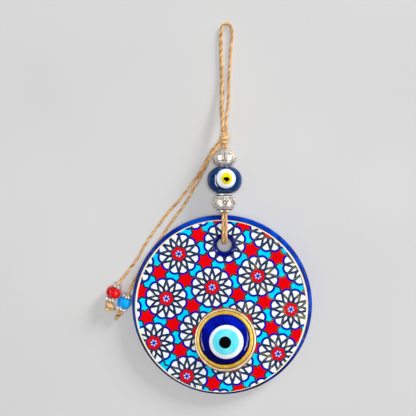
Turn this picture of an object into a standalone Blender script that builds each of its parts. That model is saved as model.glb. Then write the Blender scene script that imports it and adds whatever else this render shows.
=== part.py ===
"""An evil eye wall hanging, laid face up on a table.

A cobalt glass disc with a patterned face and a domed glass eye hangs on jute twine. The twine runs
through the disc's hole, through three large beads and into a knot. Above the knot it is a hanging loop,
and below it two loose tails end in small charms.

Units are metres. The disc's centre is over the origin, +X is to the right, +Y is towards the loop and
+Z is up from the table. The disc rests on its lower edge and on the two strands behind it, so it leans
back by a little over a degree.
"""

import math

import bmesh
import bpy
from mathutils import Matrix, Vector

MM = 0.001

SEAT_GAP = 0.1 * MM  # between pieces that are glued or fused together
FREE_GAP = 0.3 * MM  # between pieces that only touch

# The glass disc
DISC_RADIUS = 65 * MM
DISC_THICKNESS = 7 * MM
DISC_EDGE_RADIUS = 2.5 * MM
DISC_LEAN = math.radians(1.3)
HOLE_CENTRE = Vector((1.6 * MM, 43.5 * MM))
HOLE_RADIUS = 5.2 * MM
HOLE_LIP_RADIUS = 1.8 * MM

# The patterned face glued on the disc
FACE_RADIUS = 62.2 * MM
FACE_CENTRE = Vector((-0.7 * MM, -0.5 * MM))
FACE_THICKNESS = 1.2 * MM
FACE_CUTOUT_RADIUS = 8.6 * MM

# The eye in its gold ring
EYE_CENTRE = Vector((2.3 * MM, -23.9 * MM))
BEZEL_RADIUS = 22.8 * MM
BEZEL_INNER_RADIUS = 18.1 * MM
EYE_RADIUS = 17.8 * MM
EYE_EDGE_HEIGHT = 1.6 * MM
EYE_PEAK_HEIGHT = 4.6 * MM
EYE_POCKET_FLOOR = 1.2 * MM
WHITE_RADIUS = 12.3 * MM
LIGHT_BLUE_RADIUS = 9.4 * MM
PUPIL_RADIUS = 4.5 * MM

# The twine and the line that it follows through the beads
TWINE_RADIUS = 1.0 * MM
LOOP_TWINE_RADIUS = 1.15 * MM
STRAND_OFFSET = TWINE_RADIUS + FREE_GAP / 2  # of each of the four strands from the beads' axis
CORD_X = 1.6 * MM
CORD_Z = 8.7 * MM
BORE_RADIUS = 3.0 * MM
BORE_CHAMFER = 1.2 * MM

# The three large beads, from the disc upwards
LOWER_BEAD_START = 67.4 * MM
LOWER_BEAD_LENGTH = 12.7 * MM
NAZAR_LENGTH = 18.9 * MM
UPPER_BEAD_LENGTH = 12.7 * MM
METAL_BEAD_RADIUS = 8.65 * MM
NAZAR_RADIUS = 12.2 * MM
NAZAR_HALF_HEIGHT = 8.65 * MM
NAZAR_ROUNDNESS = 2.3  # exponent of its outline: 2 is an ellipse, and more is squarer

# The knot above them
KNOT_CENTRE = Vector((CORD_X, 120.3 * MM, CORD_Z))
KNOT_LENGTH = 11.2 * MM
KNOT_RADIUS = 3.4 * MM

# The charms on the tails. Their pieces turn a little from one to the next, as the twine does, and
# each angle is in degrees from -Y towards -X: of the upper spacer, bead, lower spacer and end knot.
CHARM_BORE_RADIUS = 1.4 * MM
RED_CHARM_CENTRE = Vector((-78.6 * MM, 8.8 * MM, 5.5 * MM))
RED_CHARM_ANGLES = (33, 26, 19, 9)
BLUE_CHARM_CENTRE = Vector((-70.9 * MM, 1.5 * MM, 5.1 * MM))
BLUE_CHARM_ANGLES = (24, 24, 24, 24)
SPACER_LENGTH = 2.4 * MM
CHARM_GAP = 0.55 * MM  # room between a charm's pieces, which don't lie quite in line
SPACER_LOBES = 8

# The line that the disc swings about, where the strands cross its upper rim
SWING_POINT = Vector((CORD_X, 62.5 * MM, 10.6 * MM))

# How the disc sits: the height of its middle, so that its lower edge just meets the table
DISC_MIDDLE_HEIGHT = (
    DISC_EDGE_RADIUS
    + (DISC_THICKNESS / 2 - DISC_EDGE_RADIUS) * math.cos(DISC_LEAN)
    + (DISC_RADIUS - DISC_EDGE_RADIUS) * math.sin(DISC_LEAN)
)

# Routes of the twine, as points along its middle. The left strand's route serves the right strand too.
FRONT_ON_DISC = [
    (0, 0.0616, 0.0124),
    (0, 0.0580, 0.0125),
    (0, 0.0535, 0.01245),
    (0, 0.0500, 0.0121),
    (0, 0.0472, 0.0109),
    (0, 0.0452, 0.0087),
    (0, 0.0446, 0.0065),
    (0, 0.0451, 0.0042),
    (0, 0.0467, 0.0021),
    (0, 0.0492, 0.0011),
    (0, 0.0525, 0.0010),
    (0, 0.0570, 0.0010),
    (0, 0.0611, 0.0010),
]
FRONT_TO_KNOT = [
    (0, 0.0621, 0.0123),
    (0, 0.0640, 0.0115),
    (0, 0.0660, 0.0106),
    (0, 0.0682, 0.0100),
    (0, 0.0710, 0.00985),
    (0, 0.0900, 0.00985),
    (0, 0.1144, 0.00985),
]
BACK_TO_KNOT = [
    (0, 0.0616, 0.0010),
    (0, 0.0634, 0.0013),
    (0, 0.0652, 0.0024),
    (0, 0.0664, 0.0043),
    (0, 0.0669, 0.0063),
    (0, 0.0684, 0.0074),
    (0, 0.0710, 0.00755),
    (0, 0.0900, 0.00755),
    (0, 0.1144, 0.00755),
]
LOOP_ROUTE = [
    (0.0003, 0.1263, 0.0087),
    (0.0003, 0.1300, 0.0085),
    (0.0002, 0.1350, 0.0074),
    (-0.0001, 0.1410, 0.0056),
    (-0.0002, 0.1490, 0.0036),
    (-0.0001, 0.1560, 0.0023),
    (-0.0001, 0.1640, 0.0015),
    (-0.0004, 0.1780, 0.0012),
    (-0.0006, 0.1880, 0.0012),
    (-0.0008, 0.1960, 0.0012),
    (-0.0003, 0.2008, 0.0012),
    (0.0012, 0.2042, 0.0012),
    (0.0034, 0.2054, 0.0012),
    (0.0057, 0.2042, 0.0012),
    (0.0071, 0.2008, 0.0012),
    (0.0074, 0.1960, 0.0012),
    (0.0066, 0.1870, 0.0012),
    (0.0061, 0.1780, 0.0012),
    (0.0052, 0.1640, 0.0015),
    (0.0050, 0.1560, 0.0023),
    (0.0048, 0.1490, 0.0036),
    (0.0040, 0.1410, 0.0056),
    (0.0032, 0.1350, 0.0074),
    (0.0029, 0.1300, 0.0085),
    (0.0029, 0.1263, 0.0087),
]
RED_TAIL_ROUTE = [
    (-0.0027, 0.1174, 0.0079),
    (-0.0048, 0.1144, 0.0078),
    (-0.0076, 0.1107, 0.0072),
    (-0.0106, 0.1057, 0.0062),
    (-0.0137, 0.1000, 0.0048),
    (-0.0176, 0.0936, 0.0030),
    (-0.0220, 0.0873, 0.0016),
    (-0.0271, 0.0808, 0.0011),
    (-0.0334, 0.0730, 0.0010),
    (-0.0397, 0.0665, 0.0010),
    (-0.0465, 0.0570, 0.0010),
    (-0.0543, 0.0461, 0.0010),
    (-0.0608, 0.0345, 0.0010),
    (-0.0667, 0.0262, 0.0013),
    (-0.0709, 0.0207, 0.0024),
    (-0.0736, 0.0169, 0.0045),
    (-0.0749, 0.0149, 0.0053),
]
BLUE_TAIL_ROUTE = [
    (-0.0022, 0.1150, 0.0098),
    (-0.0041, 0.1128, 0.0117),
    (-0.0061, 0.1100, 0.0128),
    (-0.0079, 0.1074, 0.0125),
    (-0.0097, 0.1043, 0.0107),
    (-0.0121, 0.0996, 0.0078),
    (-0.0148, 0.0945, 0.0049),
    (-0.0178, 0.0890, 0.0026),
    (-0.0210, 0.0836, 0.0013),
    (-0.0243, 0.0776, 0.0010),
    (-0.0291, 0.0700, 0.0010),
    (-0.0349, 0.0624, 0.0010),
    (-0.0414, 0.0531, 0.0010),
    (-0.0478, 0.0433, 0.0010),
    (-0.0553, 0.0322, 0.0010),
    (-0.0612, 0.0222, 0.0014),
    (-0.0649, 0.0149, 0.0031),
    (-0.0674, 0.0097, 0.0047),
]


def clear_scene():
    for thing in list(bpy.data.objects):
        bpy.data.objects.remove(thing, do_unlink=True)


def material(name, colour, roughness, metallic=0.0):
    made = bpy.data.materials.new(name)
    made.use_nodes = True
    surface = made.node_tree.nodes["Principled BSDF"]
    surface.inputs["Base Color"].default_value = (*colour, 1)
    surface.inputs["Roughness"].default_value = roughness
    surface.inputs["Metallic"].default_value = metallic
    return made


def add_object(name, data, finish, matrix, parent=None):
    """Puts a new object at a place in the world, on its parent if it has one."""
    piece = bpy.data.objects.new(name, data)
    bpy.context.scene.collection.objects.link(piece)
    if data is not None:
        data.materials.append(finish)
    if parent is not None:
        piece.parent = parent
        piece.matrix_parent_inverse = parent.matrix_world.inverted()
    piece.matrix_world = matrix
    bpy.context.view_layer.update()
    return piece


def pivot(name, matrix, parent=None):
    return add_object(name, None, None, matrix, parent)


def mesh_of(name, shape):
    """The finished mesh of a bmesh, with its faces turned outwards and its round parts smooth."""
    bmesh.ops.remove_doubles(shape, verts=shape.verts, dist=0.001 * MM)
    bmesh.ops.recalc_face_normals(shape, faces=shape.faces)
    mesh = bpy.data.meshes.new(name)
    shape.to_mesh(mesh)
    shape.free()
    mesh.shade_smooth()
    mesh.set_sharp_from_angle(angle=math.radians(35))
    return mesh


def turned(profile, segments, closed=True):
    """Points of (radius, height) spun about Z. An open profile starts and ends on the axis."""
    shape = bmesh.new()
    verts = [shape.verts.new((radius, 0, height)) for radius, height in profile]
    follow = verts[1:] + verts[:1] if closed else verts[1:]
    edges = [shape.edges.new(pair) for pair in zip(verts, follow)]
    bmesh.ops.spin(
        shape,
        geom=verts + edges,
        cent=(0, 0, 0),
        axis=(0, 0, 1),
        angle=2 * math.pi,
        steps=segments,
        use_merge=True,
    )
    return shape


def arc(centre, radius, start, end, steps):
    """Points of (radius, height) along an arc, with its angles in degrees."""
    angles = [math.radians(start + (end - start) * step / steps) for step in range(steps + 1)]
    return [(centre[0] + radius * math.cos(a), centre[1] + radius * math.sin(a)) for a in angles]


def at(x, y, z):
    return Matrix.Translation((x, y, z))


def facing(direction, point):
    """A matrix that lays local +Z along a direction, at a point."""
    turn = Vector((0, 0, 1)).rotation_difference(Vector(direction))
    return Matrix.Translation(point) @ turn.to_matrix().to_4x4()


def cut(piece, cutter):
    """Removes the cutter's shape from the piece."""
    cutter.hide_render = True
    cutter.display_type = "WIRE"
    boolean = piece.modifiers.new("cut", "BOOLEAN")
    boolean.operation = "DIFFERENCE"
    boolean.solver = "EXACT"
    boolean.object = cutter


def smooth_points(route, spacing):
    """Points about a spacing apart on a smooth curve through the route's own points."""
    knots = [Vector(point) for point in route]
    before = [2 * knots[0] - knots[1], *knots, 2 * knots[-1] - knots[-2]]
    points = []
    for a, b, c, d in zip(before, before[1:], before[2:], before[3:]):
        steps = max(1, round((c - b).length / spacing))
        for step in range(steps):
            t = step / steps
            points.append(
                0.5
                * (
                    2 * b
                    + (c - a) * t
                    + (2 * a - 5 * b + 4 * c - d) * t**2
                    + (3 * b - a - 3 * c + d) * t**3
                )
            )
    points.append(knots[-1])
    return points


def twine(name, route, radius, finish, parent):
    """A round tube along a route, closed at both ends."""
    points = smooth_points(route, 5 * radius)
    curve = bpy.data.curves.new(name, "CURVE")
    curve.dimensions = "3D"
    curve.bevel_depth = radius
    curve.bevel_resolution = 2
    curve.use_fill_caps = True
    spline = curve.splines.new("POLY")
    spline.points.add(len(points) - 1)
    for target, point in zip(spline.points, points):
        target.co = (*point, 1)
    return add_object(name, curve, finish, Matrix.Identity(4), parent)


def eye_height(radius):
    """Height of the domed eye above the patterned face, at a distance from its centre."""
    rise = EYE_PEAK_HEIGHT - EYE_EDGE_HEIGHT
    return EYE_EDGE_HEIGHT + rise * (1 - (radius / EYE_RADIUS) ** 2.6)


def eye_ring(inner, outer, steps):
    """One colour of the eye: a ring, or a disc if inner is 0, whose top follows the dome."""
    floor = EYE_POCKET_FLOOR + SEAT_GAP
    radii = [outer + (inner - outer) * step / steps for step in range(steps + 1)]
    return [(inner, floor), (outer, floor)] + [(radius, eye_height(radius)) for radius in radii]


def build_disc(seat, colours):
    half = DISC_THICKNESS / 2
    flat = DISC_RADIUS - DISC_EDGE_RADIUS
    straight = half - DISC_EDGE_RADIUS
    edge = arc((flat, -straight), DISC_EDGE_RADIUS, -90, 0, 4)
    edge += arc((flat, straight), DISC_EDGE_RADIUS, 0, 90, 4)
    outline = [(0, -half), *edge, (0, half)]
    place = seat.matrix_world
    mesh = mesh_of("glass_disc", turned(outline, 72, closed=False))
    disc = add_object("glass_disc", mesh, colours["cobalt_glass"], place, seat)

    flare = HOLE_RADIUS + HOLE_LIP_RADIUS
    lip = [(0, -half - 2 * MM), (flare, -half - 2 * MM)]
    lip += arc((flare, -half + HOLE_LIP_RADIUS), HOLE_LIP_RADIUS, 270, 180, 3)
    lip += arc((flare, half - HOLE_LIP_RADIUS), HOLE_LIP_RADIUS, 180, 90, 3)
    lip += [(flare, half + 2 * MM), (0, half + 2 * MM)]
    mesh = mesh_of("hole_cutter", turned(lip, 32, closed=False))
    hole = add_object(
        "hole_cutter", mesh, colours["cobalt_glass"], place @ at(*HOLE_CENTRE, 0), seat
    )
    cut(disc, hole)


def build_face(seat, colours):
    bottom = DISC_THICKNESS / 2 + SEAT_GAP
    top = bottom + FACE_THICKNESS
    chamfer = 0.3 * MM
    outline = [
        (0, bottom),
        (FACE_RADIUS, bottom),
        (FACE_RADIUS, top - chamfer),
        (FACE_RADIUS - chamfer, top),
        (0, top),
    ]
    place = seat.matrix_world @ at(*FACE_CENTRE, 0)
    mesh = mesh_of("patterned_face", turned(outline, 72, closed=False))
    face = add_object("patterned_face", mesh, colours["patterned_face"], place, seat)

    column = [(0, 0), (FACE_CUTOUT_RADIUS, 0), (FACE_CUTOUT_RADIUS, 2 * top), (0, 2 * top)]
    mesh = mesh_of("cutout_cutter", turned(column, 32, closed=False))
    place = seat.matrix_world @ at(*HOLE_CENTRE, 0)
    cut(face, add_object("cutout_cutter", mesh, colours["patterned_face"], place, seat))


def build_eye(seat, colours):
    """The gold ring and the domed glass eye, with its colours set into the cobalt dome."""
    face_top = DISC_THICKNESS / 2 + 2 * SEAT_GAP + FACE_THICKNESS
    place = seat.matrix_world @ at(*EYE_CENTRE, face_top)

    bezel = [
        (BEZEL_INNER_RADIUS, 0),
        (BEZEL_RADIUS, 0),
        (BEZEL_RADIUS, 1.5 * MM),
        (BEZEL_RADIUS - 0.5 * MM, 2.0 * MM),
        (BEZEL_RADIUS - 1.0 * MM, 1.7 * MM),
        (BEZEL_RADIUS - 1.4 * MM, 1.3 * MM),
        (BEZEL_RADIUS - 2.0 * MM, 2.1 * MM),
        (BEZEL_INNER_RADIUS + 0.4 * MM, 2.6 * MM),
        (BEZEL_INNER_RADIUS, 2.2 * MM),
    ]
    mesh = mesh_of("bezel_ring", turned(bezel, 56))
    add_object("bezel_ring", mesh, colours["gold"], place, seat)

    pocket = WHITE_RADIUS + SEAT_GAP
    steps = 4
    radii = [EYE_RADIUS + (pocket - EYE_RADIUS) * step / steps for step in range(steps + 1)]
    dome = [(0, 0), (EYE_RADIUS, 0)]
    dome += [(radius, eye_height(radius)) for radius in radii]
    dome += [(pocket, EYE_POCKET_FLOOR), (0, EYE_POCKET_FLOOR)]
    mesh = mesh_of("eye_dome", turned(dome, 48, closed=False))
    add_object("eye_dome", mesh, colours["cobalt_glass"], place, seat)

    white = eye_ring(LIGHT_BLUE_RADIUS + SEAT_GAP, WHITE_RADIUS, 2)
    mesh = mesh_of("eye_white", turned(white, 40))
    add_object("eye_white", mesh, colours["white_glass"], place, seat)

    light_blue = eye_ring(PUPIL_RADIUS + SEAT_GAP, LIGHT_BLUE_RADIUS, 3)
    mesh = mesh_of("eye_light_blue", turned(light_blue, 32))
    add_object("eye_light_blue", mesh, colours["light_blue_glass"], place, seat)

    pupil = eye_ring(0, PUPIL_RADIUS, 2)
    mesh = mesh_of("eye_pupil", turned(pupil, 24, closed=False))
    add_object("eye_pupil", mesh, colours["black_glass"], place, seat)


def offset_route(route, x):
    return [(x, y, z) for _, y, z in route]


def build_strands(swing, colours):
    """The twine between the hole and the knot: two strands before the disc and two behind it."""
    for side, sign in (("left", -1), ("right", 1)):
        x = CORD_X + sign * STRAND_OFFSET
        routes = (
            (f"{side}_disc_strand", FRONT_ON_DISC, swing),
            (f"{side}_front_strand", FRONT_TO_KNOT, None),
            (f"{side}_back_strand", BACK_TO_KNOT, None),
        )
        for name, route, parent in routes:
            twine(name, offset_route(route, x), TWINE_RADIUS, colours["jute"], parent)


def metal_bead_profile(length, reach, collar_radius, collar_length):
    """An oval belly, as long as twice its reach if it came to points, between two short collars."""
    half = length / 2
    belly_half = half - collar_length
    steps = 8
    belly = []
    for step in range(steps + 1):
        along = belly_half * math.sin(math.radians(-90 + 180 * step / steps))
        belly.append((METAL_BEAD_RADIUS * math.sqrt(1 - (along / reach) ** 2), along))
    groove_radius = collar_radius - 0.4 * MM
    mouth_radius = BORE_RADIUS + BORE_CHAMFER
    end = [
        (groove_radius, belly_half),
        (collar_radius, belly_half + collar_length / 3),
        (collar_radius, half),
        (mouth_radius, half),
        (BORE_RADIUS, half - BORE_CHAMFER),
    ]
    start = [(radius, -along) for radius, along in reversed(end)]
    return start + belly + end


def nazar_outline(along):
    """The nazar bead's size at a distance from its middle, as a share of its full size."""
    reach = 0.53 * NAZAR_LENGTH
    return (1 - (abs(along) / reach) ** NAZAR_ROUNDNESS) ** (1 / NAZAR_ROUNDNESS)


def nazar_top(across, along):
    """Height of the nazar bead's surface above the cord's line."""
    share = nazar_outline(along)
    return NAZAR_HALF_HEIGHT * share * math.sqrt(1 - (across / (NAZAR_RADIUS * share)) ** 2)


def eye_spot(centre, radius, lift, thickness, rings, segments):
    """A dab of coloured glass: a thin cap that follows the nazar bead's surface."""
    shape = bmesh.new()
    sides = []
    for is_top in (False, True):
        rows = []
        for ring in range(rings + 1):
            reach = radius * ring / rings
            crown = thickness * (0.3 + 0.7 * (1 - (ring / rings) ** 3)) if is_top else 0
            row = []
            for segment in range(segments if ring else 1):
                angle = 2 * math.pi * segment / segments
                across = centre[0] + reach * math.cos(angle)
                along = centre[1] + reach * math.sin(angle)
                height = nazar_top(across, along) + lift + crown
                row.append(shape.verts.new((across, along, height)))
            rows.append(row)
        sides.append(rows)
        for inner, outer in zip(rows, rows[1:]):
            for i in range(segments):
                j = (i + 1) % segments
                if len(inner) == 1:
                    shape.faces.new((inner[0], outer[i], outer[j]))
                else:
                    shape.faces.new((inner[i], outer[i], outer[j], inner[j]))
    bottom_rim, top_rim = sides[0][-1], sides[1][-1]
    for i in range(segments):
        j = (i + 1) % segments
        shape.faces.new((bottom_rim[i], bottom_rim[j], top_rim[j], top_rim[i]))
    return shape


def build_large_beads(colours):
    """Each large bead turns about the line of the strands, so its origin is on that line."""
    along = Vector((0, 1, 0))
    lower_middle = LOWER_BEAD_START + LOWER_BEAD_LENGTH / 2
    nazar_middle = LOWER_BEAD_START + LOWER_BEAD_LENGTH + FREE_GAP + NAZAR_LENGTH / 2
    upper_middle = nazar_middle + NAZAR_LENGTH / 2 + FREE_GAP + UPPER_BEAD_LENGTH / 2

    metal_beads = (
        ("lower_metal_bead", lower_middle, LOWER_BEAD_LENGTH, 7.1 * MM, 5.4 * MM, 1.2 * MM),
        ("upper_metal_bead", upper_middle, UPPER_BEAD_LENGTH, 6.8 * MM, 4.5 * MM, 0.6 * MM),
    )
    for name, middle, length, reach, collar_radius, collar_length in metal_beads:
        profile = metal_bead_profile(length, reach, collar_radius, collar_length)
        mesh = mesh_of(name, turned(profile, 28))
        place = facing(along, (CORD_X, middle, CORD_Z))
        add_object(name, mesh, colours["antique_silver"], place)

    steps = 10
    outline = [(0, -NAZAR_LENGTH / 2)]
    for step in range(steps + 1):
        height = NAZAR_LENGTH / 2 * math.sin(math.radians(-90 + 180 * step / steps))
        outline.append((NAZAR_RADIUS * nazar_outline(height), height))
    outline.append((0, NAZAR_LENGTH / 2))
    shape = turned(outline, 32, closed=False)
    flatten = NAZAR_HALF_HEIGHT / NAZAR_RADIUS
    bmesh.ops.rotate(shape, verts=shape.verts, matrix=Matrix.Rotation(math.radians(-90), 3, "X"))
    bmesh.ops.scale(shape, verts=shape.verts, vec=(1, 1, flatten))
    place = at(CORD_X, nazar_middle, CORD_Z)
    nazar = add_object("nazar_bead", mesh_of("nazar_bead", shape), colours["dark_glass"], place)

    column = [(0, -NAZAR_LENGTH), (BORE_RADIUS, -NAZAR_LENGTH)]
    column += [(BORE_RADIUS, NAZAR_LENGTH), (0, NAZAR_LENGTH)]
    mesh = mesh_of("bore_cutter", turned(column, 24, closed=False))
    bore = add_object(
        "bore_cutter", mesh, colours["dark_glass"], facing(along, place.translation), nazar
    )
    cut(nazar, bore)

    spots = (
        ("nazar_white", (0.8 * MM, 0.7 * MM), 7.0 * MM, 0.25 * MM, 0.4 * MM, 4, 24, "white_glass"),
        ("nazar_yellow", (1.6 * MM, 0.8 * MM), 4.0 * MM, 0.75 * MM, 0.3 * MM, 3, 20, "yellow_glass"),
        ("nazar_pupil", (1.3 * MM, 0.2 * MM), 1.9 * MM, 1.15 * MM, 0.3 * MM, 2, 16, "black_glass"),
    )
    for name, centre, radius, lift, thickness, rings, segments, colour in spots:
        shape = eye_spot(centre, radius, lift, thickness, rings, segments)
        add_object(name, mesh_of(name, shape), colours[colour], place, nazar)


def knot_profile(length, radius, end_radius):
    """A rounded lump with a flat at each end, as an open profile."""
    half = length / 2
    steps = 6
    lump = []
    for step in range(steps + 1):
        angle = math.radians(-90 + 180 * step / steps)
        lump.append((end_radius + (radius - end_radius) * math.cos(angle), half * math.sin(angle)))
    return [(0, -half), *lump, (0, half)]


def build_knot(colours):
    mesh = mesh_of("main_knot", turned(knot_profile(KNOT_LENGTH, KNOT_RADIUS, 2.75 * MM), 20, False))
    add_object("main_knot", mesh, colours["jute"], facing((0, 1, 0), KNOT_CENTRE))


def spacer_shape(radius):
    """A small metal spacer with rounded lobes, thickest at its middle."""
    outline_points = 4 * SPACER_LOBES
    half = SPACER_LENGTH / 2
    layers = ((-half, 0.78), (-half / 2, 1.0), (half / 2, 1.0), (half, 0.78))
    shape = bmesh.new()
    rings = []
    for height, share in layers:
        ring = []
        for step in range(outline_points):
            angle = 2 * math.pi * step / outline_points
            lobe = 0.88 + 0.12 * abs(math.cos(angle * SPACER_LOBES / 2))
            reach = radius * share * lobe
            ring.append(shape.verts.new((reach * math.cos(angle), reach * math.sin(angle), height)))
        rings.append(ring)
    for height in (half, -half):
        ring = []
        for step in range(outline_points):
            angle = 2 * math.pi * step / outline_points
            x = CHARM_BORE_RADIUS * math.cos(angle)
            y = CHARM_BORE_RADIUS * math.sin(angle)
            ring.append(shape.verts.new((x, y, height)))
        rings.append(ring)
    for ring, following in zip(rings, rings[1:] + rings[:1]):
        for i in range(outline_points):
            j = (i + 1) % outline_points
            shape.faces.new((ring[i], ring[j], following[j], following[i]))
    return shape


def charm_bead_profile(length, radius, end_radius, squareness):
    """A bead with a bore: rounded where squareness is 1, barrel-shaped where it is less."""
    half = length / 2
    steps = 8
    belly = []
    for step in range(steps + 1):
        angle = math.radians(-90 + 180 * step / steps)
        reach = end_radius + (radius - end_radius) * math.cos(angle) ** squareness
        belly.append((reach, half * math.sin(angle)))
    return [(CHARM_BORE_RADIUS, -half), *belly, (CHARM_BORE_RADIUS, half)]


def downwards(degrees):
    """The direction along a charm, from -Y towards -X."""
    angle = math.radians(degrees)
    return Vector((-math.sin(angle), -math.cos(angle), 0))


def build_charm(name, centre, angles, bead, spacer_radius, knot, colours, tail):
    """A bead between two spacers above an end knot. Each piece's origin is on the tail's line.

    Returns the points that the twine passes through on its way to the knot.
    """
    upper_angle, bead_angle, lower_angle, knot_angle = angles
    length, radius, end_radius, squareness, bead_colour = bead
    knot_length, knot_radius, knot_end_radius = knot
    reach = length / 2 + CHARM_GAP + SPACER_LENGTH / 2
    upper = centre - reach * downwards((upper_angle + bead_angle) / 2)
    lower = centre + reach * downwards((lower_angle + bead_angle) / 2)
    twine_end = lower + SPACER_LENGTH / 2 * downwards(lower_angle)
    knot_centre = twine_end + (CHARM_GAP + knot_length / 2) * downwards(knot_angle)

    profile = charm_bead_profile(length, radius, end_radius, squareness)
    knot_shape = knot_profile(knot_length, knot_radius, knot_end_radius)
    pieces = (
        (f"{name}_upper_spacer", spacer_shape(spacer_radius), "antique_silver", upper, upper_angle),
        (f"{name}_bead", turned(profile, 20), bead_colour, centre, bead_angle),
        (f"{name}_lower_spacer", spacer_shape(spacer_radius), "antique_silver", lower, lower_angle),
        (f"{name}_end_knot", turned(knot_shape, 16, closed=False), "jute", knot_centre, knot_angle),
    )
    for piece_name, shape, colour, point, angle in pieces:
        place = facing(downwards(angle), point)
        add_object(piece_name, mesh_of(piece_name, shape), colours[colour], place, tail)
    return [tuple(upper), tuple(centre), tuple(lower), tuple(twine_end)]


def build_tails(colours):
    """Two tails that swing about the knot, each with its charm. The red one is carried by the blue."""
    tails = (
        (
            "blue",
            BLUE_TAIL_ROUTE,
            BLUE_CHARM_CENTRE,
            BLUE_CHARM_ANGLES,
            (6.4 * MM, 4.9 * MM, 3.4 * MM, 0.6, "turquoise_glass"),
            3.8 * MM,
            (7.0 * MM, 1.7 * MM, 1.2 * MM),
        ),
        (
            "red",
            RED_TAIL_ROUTE,
            RED_CHARM_CENTRE,
            RED_CHARM_ANGLES,
            (7.2 * MM, 5.4 * MM, 2.2 * MM, 0.75, "red_glass"),
            3.7 * MM,
            (6.4 * MM, 2.6 * MM, 1.6 * MM),
        ),
    )
    parent = None
    for name, route, centre, angles, bead, spacer_radius, knot in tails:
        tail = pivot(f"{name}_tail_pivot", Matrix.Translation(KNOT_CENTRE), parent)
        through = build_charm(name, centre, angles, bead, spacer_radius, knot, colours, tail)
        twine(f"{name}_tail", route + through, TWINE_RADIUS, colours["jute"], tail)
        parent = tail


def main():
    clear_scene()
    colours = {
        "cobalt_glass": material("cobalt_glass", (0.0, 0.02, 0.42), 0.08),
        "dark_glass": material("dark_glass", (0.0, 0.03, 0.16), 0.08),
        "white_glass": material("white_glass", (0.9, 0.92, 0.95), 0.12),
        "light_blue_glass": material("light_blue_glass", (0.08, 0.7, 0.9), 0.12),
        "black_glass": material("black_glass", (0.004, 0.004, 0.008), 0.08),
        "yellow_glass": material("yellow_glass", (0.8, 0.66, 0.01), 0.12),
        "red_glass": material("red_glass", (0.6, 0.004, 0.008), 0.1),
        "turquoise_glass": material("turquoise_glass", (0.01, 0.35, 0.85), 0.25),
        "patterned_face": material("patterned_face", (0.3, 0.25, 0.45), 0.2),
        "gold": material("gold", (0.8, 0.5, 0.13), 0.25, 1.0),
        "antique_silver": material("antique_silver", (0.55, 0.51, 0.47), 0.35, 1.0),
        "jute": material("jute", (0.55, 0.34, 0.14), 0.9),
    }
    swing = pivot("disc_swing_pivot", Matrix.Translation(SWING_POINT))
    lean = Matrix.Rotation(DISC_LEAN, 4, "X")
    seat = pivot("disc_seat", at(0, 0, DISC_MIDDLE_HEIGHT) @ lean, swing)
    build_disc(seat, colours)
    build_face(seat, colours)
    build_eye(seat, colours)
    build_strands(swing, colours)
    build_large_beads(colours)
    build_knot(colours)
    loop_pivot = pivot("loop_pivot", at(CORD_X, 127.4 * MM, CORD_Z))
    twine("hanging_loop", LOOP_ROUTE, LOOP_TWINE_RADIUS, colours["jute"], loop_pivot)
    build_tails(colours)


main()
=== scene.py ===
"""The looks of an evil eye wall hanging that lies face up on a pale floor.

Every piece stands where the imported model's pieces are, and rides on their bodies. Lengths are metres,
except inside the face's pattern, which is drawn in millimetres.
"""

import contextlib
import math
import random
from math import cos, pi, radians, sin, sqrt

import bmesh
import bpy
from mathutils import Matrix, Vector, noise
from mathutils.geometry import delaunay_2d_cdt


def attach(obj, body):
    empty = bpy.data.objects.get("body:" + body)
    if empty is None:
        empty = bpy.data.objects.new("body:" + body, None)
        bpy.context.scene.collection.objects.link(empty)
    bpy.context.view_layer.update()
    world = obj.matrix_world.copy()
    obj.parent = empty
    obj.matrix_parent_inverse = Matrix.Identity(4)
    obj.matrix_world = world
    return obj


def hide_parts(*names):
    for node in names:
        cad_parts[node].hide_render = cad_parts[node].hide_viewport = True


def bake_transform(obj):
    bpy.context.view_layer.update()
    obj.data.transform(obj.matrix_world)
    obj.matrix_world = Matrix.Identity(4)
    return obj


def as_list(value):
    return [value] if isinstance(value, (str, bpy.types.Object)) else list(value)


MM = 0.001
UP = Vector((0, 0, 1))
ALONG = Vector((0, 1, 0))

SHARP_ANGLE = 38  # degrees between faces, past which an edge is drawn sharp
LOWEST = 0.06 * MM  # of the twine's surface above the floor

# The disc and the frame that its face is built in
DISC_RADIUS = 65 * MM
DISC_THICKNESS = 7 * MM
DISC_EDGE_RADIUS = 2.5 * MM
DISC_LEAN = radians(1.3)
DISC_MIDDLE_HEIGHT = (
    DISC_EDGE_RADIUS
    + (DISC_THICKNESS / 2 - DISC_EDGE_RADIUS) * cos(DISC_LEAN)
    + (DISC_RADIUS - DISC_EDGE_RADIUS) * sin(DISC_LEAN)
)
SEAT = Matrix.Translation((0, 0, DISC_MIDDLE_HEIGHT)) @ Matrix.Rotation(DISC_LEAN, 4, "X")
HOLE_CENTRE = Vector((1.6 * MM, 43.5 * MM))
HOLE_RADIUS = 5.2 * MM
HOLE_LIP_RADIUS = 1.8 * MM
HOLE_FLARE_RADIUS = HOLE_RADIUS + HOLE_LIP_RADIUS
HOLE_LIP_HEIGHT = 1.6 * MM  # over the disc's middle, above which the hole's side has painted shade and below which it has painted light
LEVEL = 0.9999  # a face lies level where its normal's Z is past this

# The printed face
FACE_RADIUS = 62.0 * MM
FACE_CENTRE = Vector((-0.5 * MM, -0.5 * MM))
FACE_BOTTOM = DISC_THICKNESS / 2 + 0.1 * MM
FACE_TOP = FACE_BOTTOM + 1.2 * MM
FACE_CUTOUT_RADIUS = 8.6 * MM
BORDER_WIDTH = 0.4 * MM
MARGIN = 1.1  # millimetres of bare ground at the print's left and right

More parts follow.
